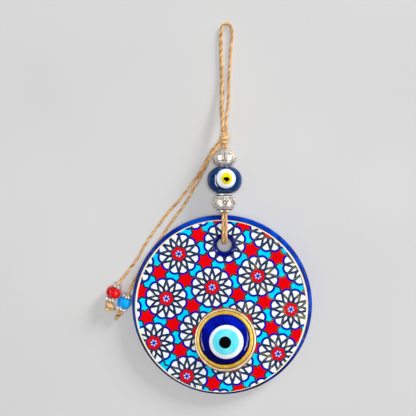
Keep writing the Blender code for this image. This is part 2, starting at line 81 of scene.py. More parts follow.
# The pattern's lattice of rosettes, in millimetres. The pattern is drawn on an even lattice, then laid
# on the face so that its first two steps from rosette to rosette become the ones given here.
ROSETTE_PITCH = 33.35
ROSETTE_ANCHOR = Vector((-7.3, 13.4))
FIRST_STEP = Vector((32.7, 8.05))
SECOND_STEP = Vector((9.0, 32.0))
TIP_RADIUS = 14.25
SCALLOP_RADIUS = 15.5
SCALLOP_WIDTH = 1.6
LINE_WIDTH = 1.2
HALF_PETAL = radians(15)

# The eye
EYE_CENTRE = Vector((2.3 * MM, -24.05 * MM))
DOME_CENTRE = Vector((1.6 * MM, -23.6 * MM))
EYE_BASE = FACE_TOP + 0.1 * MM
BEZEL_RADIUS = 22.8 * MM
BEZEL_INNER_RADIUS = 18.1 * MM
BEZEL_NARROWING = 0.02  # of the ring's outside across, as a share of its radius
BEZEL_LENGTHENING = 0.022  # of its outside along, in the same way
EYE_RADIUS = 17.8 * MM
EYE_EDGE_HEIGHT = 1.6 * MM
EYE_PEAK_HEIGHT = 4.6 * MM

# The twine and the large beads
TWINE_RADIUS = 1.0 * MM
TWINE_STEP = 0.45 * MM
KNOT_STEP = 0.4 * MM
PLY_RADIUS = 0.74  # of each of the twine's two plies, as a share of its own radius
PLY_REACH = 0.26  # from the twine's middle to a ply's, in the same way
LOOP_TWINE_RADIUS = 1.15 * MM
STRAND_OFFSET = 1.05 * MM
STRAND_SIZE = 1.12  # of the strands, as a share of the twine's radius
CORD_X = 1.6 * MM
CORD_Z = 8.7 * MM
BORE_RADIUS = 3.0 * MM
LOWER_BEAD_MIDDLE = Vector((CORD_X, 73.75 * MM, CORD_Z))
NAZAR_MIDDLE = Vector((CORD_X, 89.85 * MM, CORD_Z))
UPPER_BEAD_MIDDLE = Vector((CORD_X, 105.95 * MM, CORD_Z))
METAL_BEAD_LENGTH = 12.7 * MM
METAL_BEAD_RADIUS = 8.65 * MM
NAZAR_LENGTH = 18.9 * MM
NAZAR_RADIUS = 12.2 * MM
NAZAR_HALF_HEIGHT = 8.65 * MM
NAZAR_ROUNDNESS = 2.3
KNOT_CENTRE = Vector((CORD_X, 120.3 * MM, CORD_Z))

# The charms, with angles in degrees from -Y towards -X
CHARM_BORE_RADIUS = 1.4 * MM
RED_CHARM_CENTRE = Vector((-78.6 * MM, 8.8 * MM, 5.5 * MM))
RED_CHARM_ANGLES = (33, 26, 19, 9)
BLUE_CHARM_CENTRE = Vector((-70.9 * MM, 1.5 * MM, 5.1 * MM))
BLUE_CHARM_ANGLES = (24, 24, 24, 24)
SPACER_LENGTH = 2.4 * MM
CHARM_GAP = 0.55 * MM
SPACER_LOBES = 8

# Routes of the twine, as points along its middle. The left strand's route serves the right strand too.
FRONT_ON_DISC = [
    (0, 0.0616, 0.0124), (0, 0.0580, 0.0125), (0, 0.0535, 0.01245), (0, 0.0500, 0.0121),
    (0, 0.0472, 0.0109), (0, 0.0452, 0.0087), (0, 0.0446, 0.0065), (0, 0.0451, 0.0042),
    (0, 0.0467, 0.0021), (0, 0.0492, 0.0011), (0, 0.0525, 0.0010), (0, 0.0570, 0.0010),
    (0, 0.0611, 0.0010),
]
FRONT_TO_KNOT = [
    (0, 0.0640, 0.0115), (0, 0.0660, 0.0106), (0, 0.0682, 0.0100), (0, 0.0710, 0.00985),
    (0, 0.0900, 0.00985), (0, 0.1144, 0.00985), (0, 0.1172, 0.0094),
]
BACK_TO_KNOT = [
    (0, 0.0634, 0.0013), (0, 0.0652, 0.0024), (0, 0.0664, 0.0043), (0, 0.0669, 0.0063),
    (0, 0.0684, 0.0074), (0, 0.0710, 0.00755), (0, 0.0900, 0.00755), (0, 0.1144, 0.00755),
    (0, 0.1172, 0.0080),
]
LOOP_ROUTE = [
    (0.0006, 0.1243, 0.0087), (0.0003, 0.1263, 0.0087), (0.0003, 0.1300, 0.0085),
    (0.0002, 0.1350, 0.0074), (-0.0001, 0.1410, 0.0056), (-0.0002, 0.1490, 0.0036),
    (-0.0001, 0.1560, 0.0023), (-0.0001, 0.1640, 0.0015), (-0.0004, 0.1780, 0.0012),
    (-0.0006, 0.1880, 0.0012), (-0.0008, 0.1960, 0.0012), (-0.0003, 0.2008, 0.0012),
    (0.0012, 0.2042, 0.0012), (0.0034, 0.2054, 0.0012), (0.0057, 0.2042, 0.0012),
    (0.0071, 0.2008, 0.0012), (0.0074, 0.1960, 0.0012), (0.0066, 0.1870, 0.0012),
    (0.0061, 0.1780, 0.0012), (0.0052, 0.1640, 0.0015), (0.0050, 0.1560, 0.0023),
    (0.0048, 0.1490, 0.0036), (0.0040, 0.1410, 0.0056), (0.0032, 0.1350, 0.0074),
    (0.0029, 0.1300, 0.0085), (0.0029, 0.1263, 0.0087), (0.0026, 0.1243, 0.0087),
]
RED_TAIL_ROUTE = [
    (0.0006, 0.1196, 0.0080), (-0.0027, 0.1174, 0.0079), (-0.0048, 0.1144, 0.0078),
    (-0.0076, 0.1107, 0.0072), (-0.0106, 0.1057, 0.0062), (-0.0137, 0.1000, 0.0048),
    (-0.0176, 0.0936, 0.0030), (-0.0220, 0.0873, 0.0016), (-0.0271, 0.0808, 0.0011),
    (-0.0334, 0.0730, 0.0010), (-0.0397, 0.0665, 0.0010), (-0.0465, 0.0570, 0.0010),
    (-0.0543, 0.0461, 0.0010), (-0.0608, 0.0345, 0.0010), (-0.0667, 0.0262, 0.0013),
    (-0.0709, 0.0207, 0.0024), (-0.0736, 0.0169, 0.0045), (-0.0749, 0.0149, 0.0053),
]
BLUE_TAIL_ROUTE = [
    (0.0006, 0.1180, 0.0088), (-0.0022, 0.1150, 0.0098), (-0.0041, 0.1128, 0.0117),
    (-0.0061, 0.1100, 0.0128), (-0.0079, 0.1074, 0.0125), (-0.0097, 0.1043, 0.0107),
    (-0.0121, 0.0996, 0.0078), (-0.0148, 0.0945, 0.0049), (-0.0178, 0.0890, 0.0026),
    (-0.0210, 0.0836, 0.0013), (-0.0243, 0.0776, 0.0010), (-0.0291, 0.0700, 0.0010),
    (-0.0349, 0.0624, 0.0010), (-0.0414, 0.0531, 0.0010), (-0.0478, 0.0433, 0.0010),
    (-0.0553, 0.0322, 0.0010), (-0.0612, 0.0222, 0.0014), (-0.0649, 0.0149, 0.0031),
    (-0.0674, 0.0097, 0.0047),
]


def linear(red, green, blue):
    """A colour given as 0 to 255 on a screen, as the linear values that shaders take."""
    values = []
    for part in (red, green, blue):
        share = part / 255
        values.append(share / 12.92 if share <= 0.04045 else ((share + 0.055) / 1.055) ** 2.4)
    return (*values, 1)


# ---- materials


class Shader:
    """A node material under construction, with the few kinds of nodes that this scene needs."""

    def __init__(self, name, roughness, metallic=0.0, coat=0.0, specular=0.5):
        self.material = bpy.data.materials.new(name)
        self.material.use_nodes = True
        self.tree = self.material.node_tree
        self.place = self.tree.nodes.new("ShaderNodeTexCoord").outputs["Object"]
        self.surface = self.tree.nodes["Principled BSDF"]
        self.feed(self.surface, {"Roughness": roughness, "Metallic": metallic})
        self.feed(self.surface, {"Specular IOR Level": specular})
        self.feed(self.surface, {"Coat Weight": coat, "Coat Roughness": 0.05})

    def feed(self, node, sources):
        """Sets a node's inputs to values, or joins them to what other nodes give."""
        for name, source in sources.items():
            if isinstance(source, bpy.types.NodeSocket):
                self.tree.links.new(source, node.inputs[name])
            else:
                node.inputs[name].default_value = source
        return self

    def node(self, kind, sources, output, **settings):
        """What a new node gives."""
        made = self.tree.nodes.new(kind)
        for key, value in settings.items():
            setattr(made, key, value)
        self.feed(made, sources)
        return made.outputs[output]

    def noise(self, scale, detail=2.0, distortion=0.0, source=None):
        """Soft random values from 0 to 1, at so many blobs to the metre."""
        sources = {"Scale": scale, "Detail": detail, "Distortion": distortion}
        return self.node("ShaderNodeTexNoise", {"Vector": source or self.place, **sources}, "Fac")

    def axis(self, letter):
        return self.node("ShaderNodeSeparateXYZ", {"Vector": self.place}, letter)

    def math(self, operation, first, second):
        return self.node("ShaderNodeMath", {0: first, 1: second}, "Value", operation=operation)

    def ramp(self, value, *stops):
        """Colours between given places, from a value. Each stop is (place, colour on a screen)."""
        colours = self.node("ShaderNodeValToRGB", {"Fac": value}, "Color")
        elements = colours.node.color_ramp.elements
        elements.remove(elements[-1])
        elements[0].position = stops[0][0]
        elements[0].color = linear(*stops[0][1])
        for place, colour in stops[1:]:
            elements.new(place).color = linear(*colour)
        return colours

    def colour(self, output):
        return self.feed(self.surface, {"Base Color": output})

    def rough(self, value, low, high):
        """Roughness between two values as a value goes from 0 to 1."""
        sources = {"Value": value, "To Min": low, "To Max": high}
        return self.feed(self.surface, {"Roughness": self.node("ShaderNodeMapRange", sources, "Result")})

    def bump(self, height, strength, depth):
        sources = {"Height": height, "Strength": strength, "Distance": depth}
        return self.feed(self.surface, {"Normal": self.node("ShaderNodeBump", sources, "Normal")})


def glass(name, dark, middle, light, roughness=0.07, swirl=60, coat=0.08, specular=0.12, painted_light_side=None):
    """Coloured glass, cloudy in slow swirls, with fine ripples left by the mould.

    The last argument is (axis, middle, slope): painted light, with the glass lighter beyond the middle by
    the slope to the metre.
    """
    shader = Shader(name, roughness, coat=coat, specular=specular)
    clouds = shader.noise(swirl, detail=3, distortion=1.2)
    # Painted light: the glass is lighter on one side of its middle, as if lit from there.
    if painted_light_side is not None:
        axis, middle_place, slope = painted_light_side
        away = shader.math("MULTIPLY", shader.math("SUBTRACT", shader.axis(axis), middle_place), slope)
        clouds = shader.math("ADD", clouds, away)
    shader.colour(shader.ramp(clouds, (0.3, dark), (0.52, middle), (0.75, light)))
    shader.rough(shader.noise(swirl * 6), roughness * 0.7, roughness * 1.6)
    return shader.bump(shader.noise(swirl * 3, detail=2), 0.12, 0.1 * MM).material


def enamel(name, base, shade, roughness=0.3):
    """Printed colour, with faint speckle."""
    shader = Shader(name, roughness, specular=0.06)
    fine = shader.noise(900, detail=3)
    slow = shader.noise(45, detail=1)
    mixed = shader.math("MULTIPLY", shader.math("ADD", fine, slow), 0.5)
    shader.colour(shader.ramp(mixed, (0.36, shade), (0.56, base)))
    shader.rough(fine, roughness * 0.8, roughness * 1.3)
    return shader.bump(fine, 0.1, 0.03 * MM).material


def line_with_painted_sheen(name, roughness, patch_scale, slope, *stops):
    """Dark printed lines, khaki gold in random patches, and lighter to the right by the slope to the metre
    as a painted reflection.
    """
    shader = Shader(name, roughness, specular=0.1)
    patches = shader.noise(patch_scale, detail=3)
    # Painted reflection: lighter towards the right, where the light is.
    painted_sheen_rightwards = shader.math("MULTIPLY", shader.axis("X"), slope)
    return shader.colour(shader.ramp(shader.math("ADD", patches, painted_sheen_rightwards), *stops)).material


def gold(name, dark, light, roughness=0.25, metallic=1.0):
    """Plated metal with slow tints and fine tool marks."""
    shader = Shader(name, roughness, metallic=metallic)
    tint = shader.noise(220, detail=3, distortion=0.6)
    shader.colour(shader.ramp(tint, (0.35, dark), (0.62, light)))
    fine = shader.noise(2600, detail=2)
    shader.rough(fine, roughness * 0.7, roughness * 1.5)
    return shader.bump(fine, 0.15, 0.03 * MM).material


def silver(name, dark, light, roughness=0.3, metallic=0.4):
    """Old silver, a little stained."""
    shader = Shader(name, roughness, metallic=metallic)
    stains = shader.noise(420, detail=4, distortion=0.8)
    shader.colour(shader.ramp(stains, (0.3, dark), (0.52, light)))
    fine = shader.noise(1800, detail=3)
    shader.rough(stains, roughness * 1.4, roughness * 0.8)
    return shader.bump(fine, 0.25, 0.06 * MM).material


def jute(name, low, middle, high):
    """Twisted plant fibre: long streaks that follow the twist, with painted shade between the plies."""
    shader = Shader(name, 0.86, specular=0.15)
    yarn = shader.node("ShaderNodeAttribute", {}, "Vector", attribute_name="yarn")
    lay = shader.node("ShaderNodeAttribute", {}, "Fac", attribute_name="lay")
    streaks = shader.noise(900, detail=3, source=yarn)
    fibres = shader.noise(3400, detail=2, source=yarn)
    share = shader.math("MULTIPLY", streaks, 0.95)
    share = shader.math("ADD", share, shader.math("MULTIPLY", fibres, 0.3))
    # Painted shade: darker where lay is low, between the plies.
    share = shader.math("ADD", share, shader.math("MULTIPLY", lay, 0.14))
    shader.colour(shader.ramp(share, (0.46, low), (0.7, middle), (0.9, high)))
    shader.feed(shader.surface, {"Sheen Weight": 0.15, "Sheen Roughness": 0.5})
    return shader.bump(fibres, 0.5, 0.12 * MM).material


def floor_paper():
    shader = Shader("floor_paper", 0.9)
    tones = shader.ramp(shader.noise(9, detail=1), (0.3, (213, 213, 213)), (0.7, (217, 217, 217)))
    return shader.colour(tones).material


# ---- meshes


@contextlib.contextmanager
def editing(mesh):
    work = bmesh.new()
    work.from_mesh(mesh)
    yield work
    work.to_mesh(mesh)
    work.free()


class Shape:
    """Points and faces gathered from grids, then made into one object."""

    def __init__(self):
        self.points = []
        self.faces = []
        self.slots = []
        self.lay = []
        self.yarn = []

    def row(self, points, lay=None, yarn=None):
        """New points. Lay is low between plies, where the jute material paints shade, and yarn is a place
        in untwisted twine.
        """
        start = len(self.points)
        self.points += [Vector(point) for point in points]
        self.lay += lay or [1.0] * len(points)
        self.yarn += yarn or [Vector(point) for point in points]
        return list(range(start, len(self.points)))

    def face(self, corners, slot=0):
        self.faces.append(tuple(corners))
        self.slots.append(slot)

    def strip(self, one, other, slot=0, closed=True):
        """Faces between two rows of the same length, or between a row and a single point."""
        count = max(len(one), len(other))
        for i in range(count if closed else count - 1):
            j = (i + 1) % count
            if len(one) == 1:
                self.face((one[0], other[i], other[j]), slot)
            elif len(other) == 1:
                self.face((one[i], other[0], one[j]), slot)
            else:
                self.face((one[i], other[i], other[j], one[j]), slot)

    def grid(self, rows, slots=None, closed=True):
        """Rows of points joined one to the next. Slots gives the material of each join."""
        made = [self.row(points) for points in rows]
        for i, (one, other) in enumerate(zip(made, made[1:])):
            self.strip(one, other, slots[i] if slots else 0, closed)

    def made(self, name, materials, angle=SHARP_ANGLE, matrix=None, outwards=True):
        mesh = bpy.data.meshes.new(name)
        mesh.from_pydata([tuple(point) for point in self.points], [], self.faces)
        mesh.polygons.foreach_set("material_index", self.slots)
        lay = mesh.attributes.new("lay", "FLOAT", "POINT")
        lay.data.foreach_set("value", self.lay)
        yarn = mesh.attributes.new("yarn", "FLOAT_VECTOR", "POINT")
        yarn.data.foreach_set("vector", [part for place in self.yarn for part in place])
        if outwards:
            with editing(mesh) as work:
                bmesh.ops.recalc_face_normals(work, faces=work.faces)
        mesh.shade_smooth()
        mesh.set_sharp_from_angle(angle=radians(angle))
        for material in materials:
            mesh.materials.append(material)
        piece = bpy.data.objects.new(name, mesh)
        bpy.context.scene.collection.objects.link(piece)
        if matrix is not None:
            mesh.transform(matrix)
        return piece


def weld(piece):
    """Joins points that coincide, such as the two ends of a closed profile."""
    with editing(piece.data) as work:
        bmesh.ops.remove_doubles(work, verts=work.verts, dist=0.001 * MM)
        bmesh.ops.recalc_face_normals(work, faces=work.faces)


def finish_piece(shape, name, materials, place, node, slot, body, angle=SHARP_ANGLE):
    """Makes a piece, closes its seams, hides the part of the node it stands for, and gives it to the body
    it rides.
    """
    piece = shape.made(name, materials, angle, place)
    weld(piece)
    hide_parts(node)
    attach(piece, body)
    return piece


def layer(rings, around, point_at):
    """A thin layer with an underside and a top, each of them rings of points round a middle.

    Point_at takes the share of the way out, the angle, and whether the point is on the top.
    """
    sides = []
    for is_top in (False, True):
        side = []
        for ring in range(rings + 1):
            side.append([point_at(ring / rings, angle, is_top) for angle in turns(around if ring else 1)])
        sides.append(side)
    shape = Shape()
    shape.grid([*sides[0], *reversed(sides[1])])
    return shape


def turns(count):
    """The angles of so many even steps round a circle."""
    return [2 * pi * step / count for step in range(count)]


def turned_rows(profile, segments, matrix=None):
    """Rows of points of a (radius, height) profile spun about Z. A radius of 0 gives a single point."""
    rows = []
    for radius, height in profile:
        if radius < 1e-9:
            row = [Vector((0, 0, height))]
        else:
            row = [Vector((radius * cos(a), radius * sin(a), height)) for a in turns(segments)]
        rows.append([matrix @ point for point in row] if matrix is not None else row)
    return rows


def ring_profile(profile):
    """The same profile closed on itself, for a ring with a bore."""
    return [*profile, profile[0]]


def ball_profile(radius, flatten, steps):
    rows = []
    for step in range(steps + 1):
        angle = radians(-90 + 180 * step / steps)
        across = radius * cos(angle) if 0 < step < steps else 0
        rows.append((across, radius * flatten * sin(angle)))
    return rows


def arc(centre, radius, start, end, steps):
    angles = [radians(start + (end - start) * step / steps) for step in range(steps + 1)]
    return [(centre[0] + radius * cos(a), centre[1] + radius * sin(a)) for a in angles]


def facing(direction, point):
    """A frame at a point, with its Z along a direction."""
    turn = UP.rotation_difference(Vector(direction))
    return Matrix.Translation(point) @ turn.to_matrix().to_4x4()


def downwards(degrees):
    """The level direction at an angle from -Y towards -X."""
    angle = radians(degrees)
    return Vector((-sin(angle), -cos(angle), 0))


def smooth_points(route, spacing):
    """Points about a spacing apart on a smooth curve through the route's own points."""
    knots = [Vector(point) for point in route]
    before = [2 * knots[0] - knots[1], *knots, 2 * knots[-1] - knots[-2]]
    points = []
    for a, b, c, d in zip(before, before[1:], before[2:], before[3:]):
        steps = max(1, round((c - b).length / spacing))
        for step in range(steps):
            t = step / steps
            bend = (2 * a - 5 * b + 4 * c - d) * t**2 + (3 * b - a - 3 * c + d) * t**3
            points.append(0.5 * (2 * b + (c - a) * t + bend))
    points.append(knots[-1])
    return points


def length_of(points):
    return sum((b - a).length for a, b in zip(points, points[1:]))


def frames_along(points):
    """At each point, the direction onwards and two directions across that turn as little as they can."""
    frames = []
    across = None
    for i, point in enumerate(points):
        ahead = points[min(i + 1, len(points) - 1)] - points[max(i - 1, 0)]
        ahead.normalize()
        if across is None:
            across = ahead.orthogonal().normalized()
        across = (across - ahead * across.dot(ahead)).normalized()
        frames.append((point, ahead, across, ahead.cross(across)))
    return frames


def above_floor(point):
    return Vector((point.x, point.y, max(point.z, LOWEST)))


def add_twine(shape, points, radius, seed, lay_length=12 * MM, sides=16, fuzz=0.6, taper=None):
    """Two plies twisted together along the points, with rounded ends and loose fibres.

    Fuzz is the number of loose fibres to the millimetre. Taper gives the size at a share of the length.
    """
    draw = random.Random(seed)
    start_turn = draw.uniform(0, pi)
    walked = 0.0
    total = length_of(points)
    frames = frames_along(points)
    previous = None
    before = points[0]
    for point, ahead, across, aside in frames:
        walked += (point - before).length
        before = point
        here = radius * (taper(walked / total) if taper else 1.0)
        ply = PLY_RADIUS * here
        reach = PLY_REACH * here
        turn = start_turn + 2 * pi * walked / lay_length
        wander = 0.08 * noise.noise(Vector((walked * 330, seed * 3.7, 0)))
        left = min(walked, total - walked)
        close = sqrt(max(0.0, 1 - (1 - min(1.0, left / (0.8 * here))) ** 2))
        close = max(close, 0.12)
        row = []
        lay = []
        yarn = []
        for angle in turns(sides):
            local = angle - turn
            lobe = reach * abs(cos(local)) + sqrt(ply**2 - (reach * sin(local)) ** 2)
            share = lobe / here
            around = Vector((cos(local), sin(local), 0))
            rough = 0.05 * noise.noise(around * 2.2 + UP * (walked * 420 + seed))
            size = here * (min(share, 1.0) + rough + wander) * close
            row.append(above_floor(point + size * (cos(angle) * across + sin(angle) * aside)))
            # Lay is low between the plies, where the jute is darkened as painted shade.
            lay.append(max(0.0, min(1.0, (share - 0.69) / 0.3)))
            yarn.append(around * MM + UP * (seed * MM + walked * 0.16))
        indices = shape.row(row, lay, yarn)
        if previous is None:
            cap = shape.row([point], [0.4])
            shape.strip(cap, indices)
        else:
            shape.strip(previous, indices)
        previous = indices
    cap = shape.row([points[-1]], [0.4])
    shape.strip(previous, cap)
    for _ in range(int(total / MM * fuzz)):
        point, ahead, across, aside = frames[draw.randrange(2, len(frames) - 2)]
        angle = draw.uniform(0, 2 * pi)
        out = cos(angle) * across + sin(angle) * aside
        if point.z + out.z * radius * 1.6 < 0.3 * MM:
            continue
        add_fibre(
            shape,
            point + out * radius * 0.75,
            out,
            ahead * draw.choice((-1, 1)),
            draw.uniform(1.2, 3.2) * MM,
            draw.uniform(0.25, 0.75) * MM,
            draw.uniform(0.05, 0.085) * MM,
        )


def add_fibre(shape, start, out, along, length, rise, radius):
    """One loose fibre that leaves the twine at a slant and tapers to a point."""
    side = out.cross(along).normalized()
    steps = 4
    previous = None
    for step in range(steps):
        share = step / steps
        middle = start + along * length * share + out * rise * sin(share * 2.2)
        size = radius * (1 - 0.7 * share)
        corners = [middle + size * out]
        corners += [middle - 0.5 * size * out + hand * 0.87 * size * side for hand in (1, -1)]
        indices = shape.row([above_floor(corner) for corner in corners], [0.9] * 3)
        if previous is None:
            shape.face(tuple(reversed(indices)))
        else:
            shape.strip(previous, indices)
        previous = indices
    tip = shape.row([above_floor(start + along * length + out * rise * sin(2.2))], [0.9])
    shape.strip(previous, tip)


# ---- camera, light and floor


def stage():
    camera_data = bpy.data.cameras.new("camera")
    camera_data.sensor_width = 36
    camera_data.lens = 41.2
    camera_data.clip_start = 0.01
    camera = bpy.data.objects.new("camera", camera_data)
    camera.location = (-0.0102, 0.0699, 0.350)
    bpy.context.scene.collection.objects.link(camera)
    bpy.context.scene.camera = camera

    world = bpy.data.worlds.new("world")
    world.use_nodes = True
    background = world.node_tree.nodes["Background"]
    background.inputs["Color"].default_value = (1.0, 0.995, 0.985, 1)
    background.inputs["Strength"].default_value = 0.18
    bpy.context.scene.world = world

    lamps = (
        ("overhead", (0.02, 0.07, 1.6), (0.6, 0.6), 15.2, False),
        ("key", (2.4, 2.6, 1.3), (1.1, 1.1), 108.0, False),
        ("right_softbox", (0.55, -0.02, 0.46), (0.07, 1.0), 4.2, True),
        ("left_softbox", (-0.52, -0.02, 0.47), (0.07, 1.0), 4.0, True),
    )
    for name, place, size, power, in_highlights in lamps:
        lamp_data = bpy.data.lights.new(name, "AREA")
        lamp_data.shape = "RECTANGLE"
        lamp_data.size, lamp_data.size_y = size
        lamp_data.energy = power
        lamp = bpy.data.objects.new(name, lamp_data)
        lamp.location = place
        aim = Vector((0, 0.05, 0)) - Vector(place)
        lamp.rotation_euler = aim.to_track_quat("-Z", "X").to_euler()
        lamp.visible_glossy = in_highlights
        lamp.visible_diffuse = not in_highlights
        bpy.context.scene.collection.objects.link(lamp)
    bpy.context.scene.view_settings.view_transform = "Standard"

    floor = Shape()
    corners = floor.row([(-1.5, -1.5, 0), (1.5, -1.5, 0), (1.5, 1.5, 0), (-1.5, 1.5, 0)])
    floor.face(corners)
    floor.made("floor", [floor_paper()], outwards=False)


# ---- the disc


def build_disc(cobalt, painted_lip_shade, bright):
    """The cobalt glass disc with its flared hole, with painted shade at the lip and painted light inside.
    """
    half = DISC_THICKNESS / 2
    flat = DISC_RADIUS - DISC_EDGE_RADIUS
    straight = half - DISC_EDGE_RADIUS
    edge = arc((flat, -straight), DISC_EDGE_RADIUS, -90, 0, 8)
    edge += arc((flat, straight), DISC_EDGE_RADIUS, 0, 90, 8)
    outline = [(0, -half), *edge, (0, half)]
    body = Shape()
    body.grid(turned_rows(outline, 144))
    disc = body.made("disc_glass", [cobalt])

    flare = HOLE_FLARE_RADIUS
    beyond = half + 2 * MM
    lip = [(0, -beyond), (flare, -beyond)]
    lip += arc((flare, -half + HOLE_LIP_RADIUS), HOLE_LIP_RADIUS, 270, 180, 7)
    lip += arc((flare, half - HOLE_LIP_RADIUS), HOLE_LIP_RADIUS, 180, 90, 7)
    lip += [(flare, beyond), (0, beyond)]
    core = Shape()
    core.grid(turned_rows(lip, 72))
    cutter = core.made("hole_core", [cobalt], matrix=Matrix.Translation((*HOLE_CENTRE, 0)))
    cut = disc.modifiers.new("hole", "BOOLEAN")
    cut.operation = "DIFFERENCE"
    cut.solver = "EXACT"
    cut.object = cutter
    graph = bpy.context.evaluated_depsgraph_get()
    mesh = bpy.data.meshes.new_from_object(disc.evaluated_get(graph))
    disc.modifiers.clear()
    disc.data = mesh
    bpy.data.objects.remove(cutter, do_unlink=True)
    mesh.set_sharp_from_angle(angle=radians(SHARP_ANGLE))
    for material in (painted_lip_shade, bright):
        mesh.materials.append(material)
    for polygon in mesh.polygons:
        polygon.use_smooth = abs(polygon.normal.z) < LEVEL
        # The hole's side: painted shade on its lip, painted light lower inside.
        if polygon.use_smooth and (polygon.center.xy - HOLE_CENTRE).length < flare:
            polygon.material_index = 1 if polygon.center.z > HOLE_LIP_HEIGHT else 2
    mesh.transform(SEAT)
    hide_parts("glass_disc")
    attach(disc, "disc")


# ---- the printed pattern


class Painting:
    """Closed outlines painted one over another, then flattened into triangles of one colour each."""

    CELL = 4.0

    def __init__(self):
        self.outlines = []
        self.colours = []
        self.near = {}

    def paint(self, outline, colour):
        outline = [on_face(point) for point in outline]
        low = [min(point[k] for point in outline) for k in (0, 1)]
        high = [max(point[k] for point in outline) for k in (0, 1)]
        index = len(self.outlines)
        self.outlines.append(outline)
        self.colours.append(colour)
        for column in range(math.floor(low[0] / self.CELL), math.floor(high[0] / self.CELL) + 1):
            for line in range(math.floor(low[1] / self.CELL), math.floor(high[1] / self.CELL) + 1):
                self.near.setdefault((column, line), []).append(index)

    def colour_at(self, point, ground):
        cell = (math.floor(point.x / self.CELL), math.floor(point.y / self.CELL))
        for index in reversed(self.near.get(cell, [])):
            if inside(point, self.outlines[index]):
                return self.colours[index]
        return ground

    def triangles(self, limits):
        """Corner points and triangles of every outline and limit, all cut where they cross."""
        points = []
        edges = []
        for outline in [*self.outlines, *limits]:
            start = len(points)
            points += [Vector(point) for point in outline]
            count = len(outline)
            edges += [(start + i, start + (i + 1) % count) for i in range(count)]
        found = delaunay_2d_cdt(points, edges, [], 0, 1e-4)
        return found[0], found[2]


def on_face(point):
    """Where a point of the even lattice lies on the face. The first rosette is at the lattice's origin."""
    up = point.y / ROSETTE_PITCH / sin(radians(60))
    right = point.x / ROSETTE_PITCH - up / 2
    return ROSETTE_ANCHOR + right * FIRST_STEP + up * SECOND_STEP


def inside(point, outline):
    """Whether a line running right from the point crosses the outline an odd number of times."""
    within = False
    x, y = point.x, point.y
    last = outline[-1]
    for corner in outline:
        if (corner.y > y) != (last.y > y):
            if x < (last.x - corner.x) * (y - corner.y) / (last.y - corner.y) + corner.x:
                within = not within
        last = corner
    return within


def circle(centre, radius, steps, turn=0.0):
    angles = [turn + 2 * pi * step / steps for step in range(steps)]
    return [Vector((centre[0] + radius * cos(a), centre[1] + radius * sin(a))) for a in angles]


def polar(centre, radius, degrees):
    angle = radians(degrees)
    return Vector((centre[0] + radius * cos(angle), centre[1] + radius * sin(angle)))


def local_point(centre, degrees, outwards, sideways):
    """A point so far out along a direction from a centre, and so far to its left."""
    angle = radians(degrees)
    out = Vector((cos(angle), sin(angle)))
    return Vector(centre) + outwards * out + sideways * Vector((-out.y, out.x))


def scallops(centre, inset):
    """Twelve arcs from tip to tip, each bulging outwards, moved inwards by the inset."""
    half_chord = TIP_RADIUS * sin(HALF_PETAL)
    rise = SCALLOP_RADIUS - TIP_RADIUS * cos(HALF_PETAL)
    bend = (half_chord**2 + rise**2) / (2 * rise)
    middle = SCALLOP_RADIUS - bend
    radius = bend - inset
    side = cos(HALF_PETAL) * middle
    meet = side + sqrt(radius**2 - (middle * sin(HALF_PETAL)) ** 2)
    end = math.atan2(meet * sin(HALF_PETAL), meet * cos(HALF_PETAL) - middle)
    outline = []
    for petal in range(12):
        for step in range(7):
            angle = -end + 2 * end * step / 7
            out = middle + radius * cos(angle)
            outline.append(local_point(centre, 30 * petal, out, radius * sin(angle)))
    return outline


def paint_rosette(art, centre):
    """A twelve-petalled rosette: scalloped blue edge, white petals, dark star, and a small flower."""
    art.paint(scallops(centre, 0), "royal")
    art.paint(scallops(centre, SCALLOP_WIDTH), "white")
    star = []
    for petal in range(12):
        star.append(local_point(centre, 30 * petal, 8.85, 0))
        star.append(local_point(centre, 30 * petal + 15, 14.5, -0.36))
        star.append(local_point(centre, 30 * petal + 15, 14.5, 0.36))
    art.paint(star, "slate")
    for petal in range(12):
        tip = 30 * petal + 15
        kite = ((10.1, 0), (7.5, 0.98), (6.0, 0.5), (5.75, 0), (6.0, -0.5), (7.5, -0.98))
        art.paint([local_point(centre, tip, out, aside) for out, aside in kite], "white")
    wreath = []
    for step in range(6):
        lobe = ((-30, 4.15), (-20, 4.75), (-9, 4.7), (0, 5.25), (9, 4.7), (20, 4.75))
        wreath += [polar(centre, radius, 60 * step + 30 + angle) for angle, radius in lobe]
    art.paint(wreath, "red")
    for step in range(6):
        art.paint(circle(polar(centre, 3.15, 60 * step), 0.42, 8), "slate")
    art.paint(circle(centre, 2.45, 20), "royal")
    for step in range(6):
        direction = 60 * step + 30
        leaf = ((2.5, 0), (2.0, 0.62), (1.25, 0.42), (0.85, 0), (1.25, -0.42), (2.0, -0.62))
        art.paint([local_point(centre, direction, out, aside) for out, aside in leaf], "pale")
    art.paint(circle(centre, 0.72, 10), "royal")


def strip_outline(start, end, width):
    """A straight line of a width, run on a little past both its ends."""
    along = (end - start).normalized()
    across = Vector((-along.y, along.x)) * width / 2
    start = start - along * width * 0.3
    end = end + along * width * 0.3
    return [start + across, start - across, end - across, end + across]


def paint_between(art, centre, step):
    """The lines between a rosette and its neighbour, which bound the cyan and red shapes."""
    direction = 60 * step
    for side in (-1, 1):
        notch = local_point(centre, direction, ROSETTE_PITCH / 2, side * 5.4)
        near = polar(centre, TIP_RADIUS, direction + 15 * side)
        far = local_point(centre, direction, ROSETTE_PITCH - 13.76, side * 3.69)
        art.paint(strip_outline(near, notch, LINE_WIDTH), "line")
        art.paint(strip_outline(notch, far, LINE_WIDTH), "line")


def paint_star(art, middle, direction):
    """The red star between three rosettes, one of which lies in the direction opposite."""
    outline = []
    for turn in (0, 120, 240):
        towards = direction + 180 + turn
        outline.append(local_point(middle, towards, 5.47, -3.69))
        outline.append(local_point(middle, towards, 5.47, 3.69))
        outline.append(polar(middle, 4.22, towards + 60))
    art.paint(outline, "red")


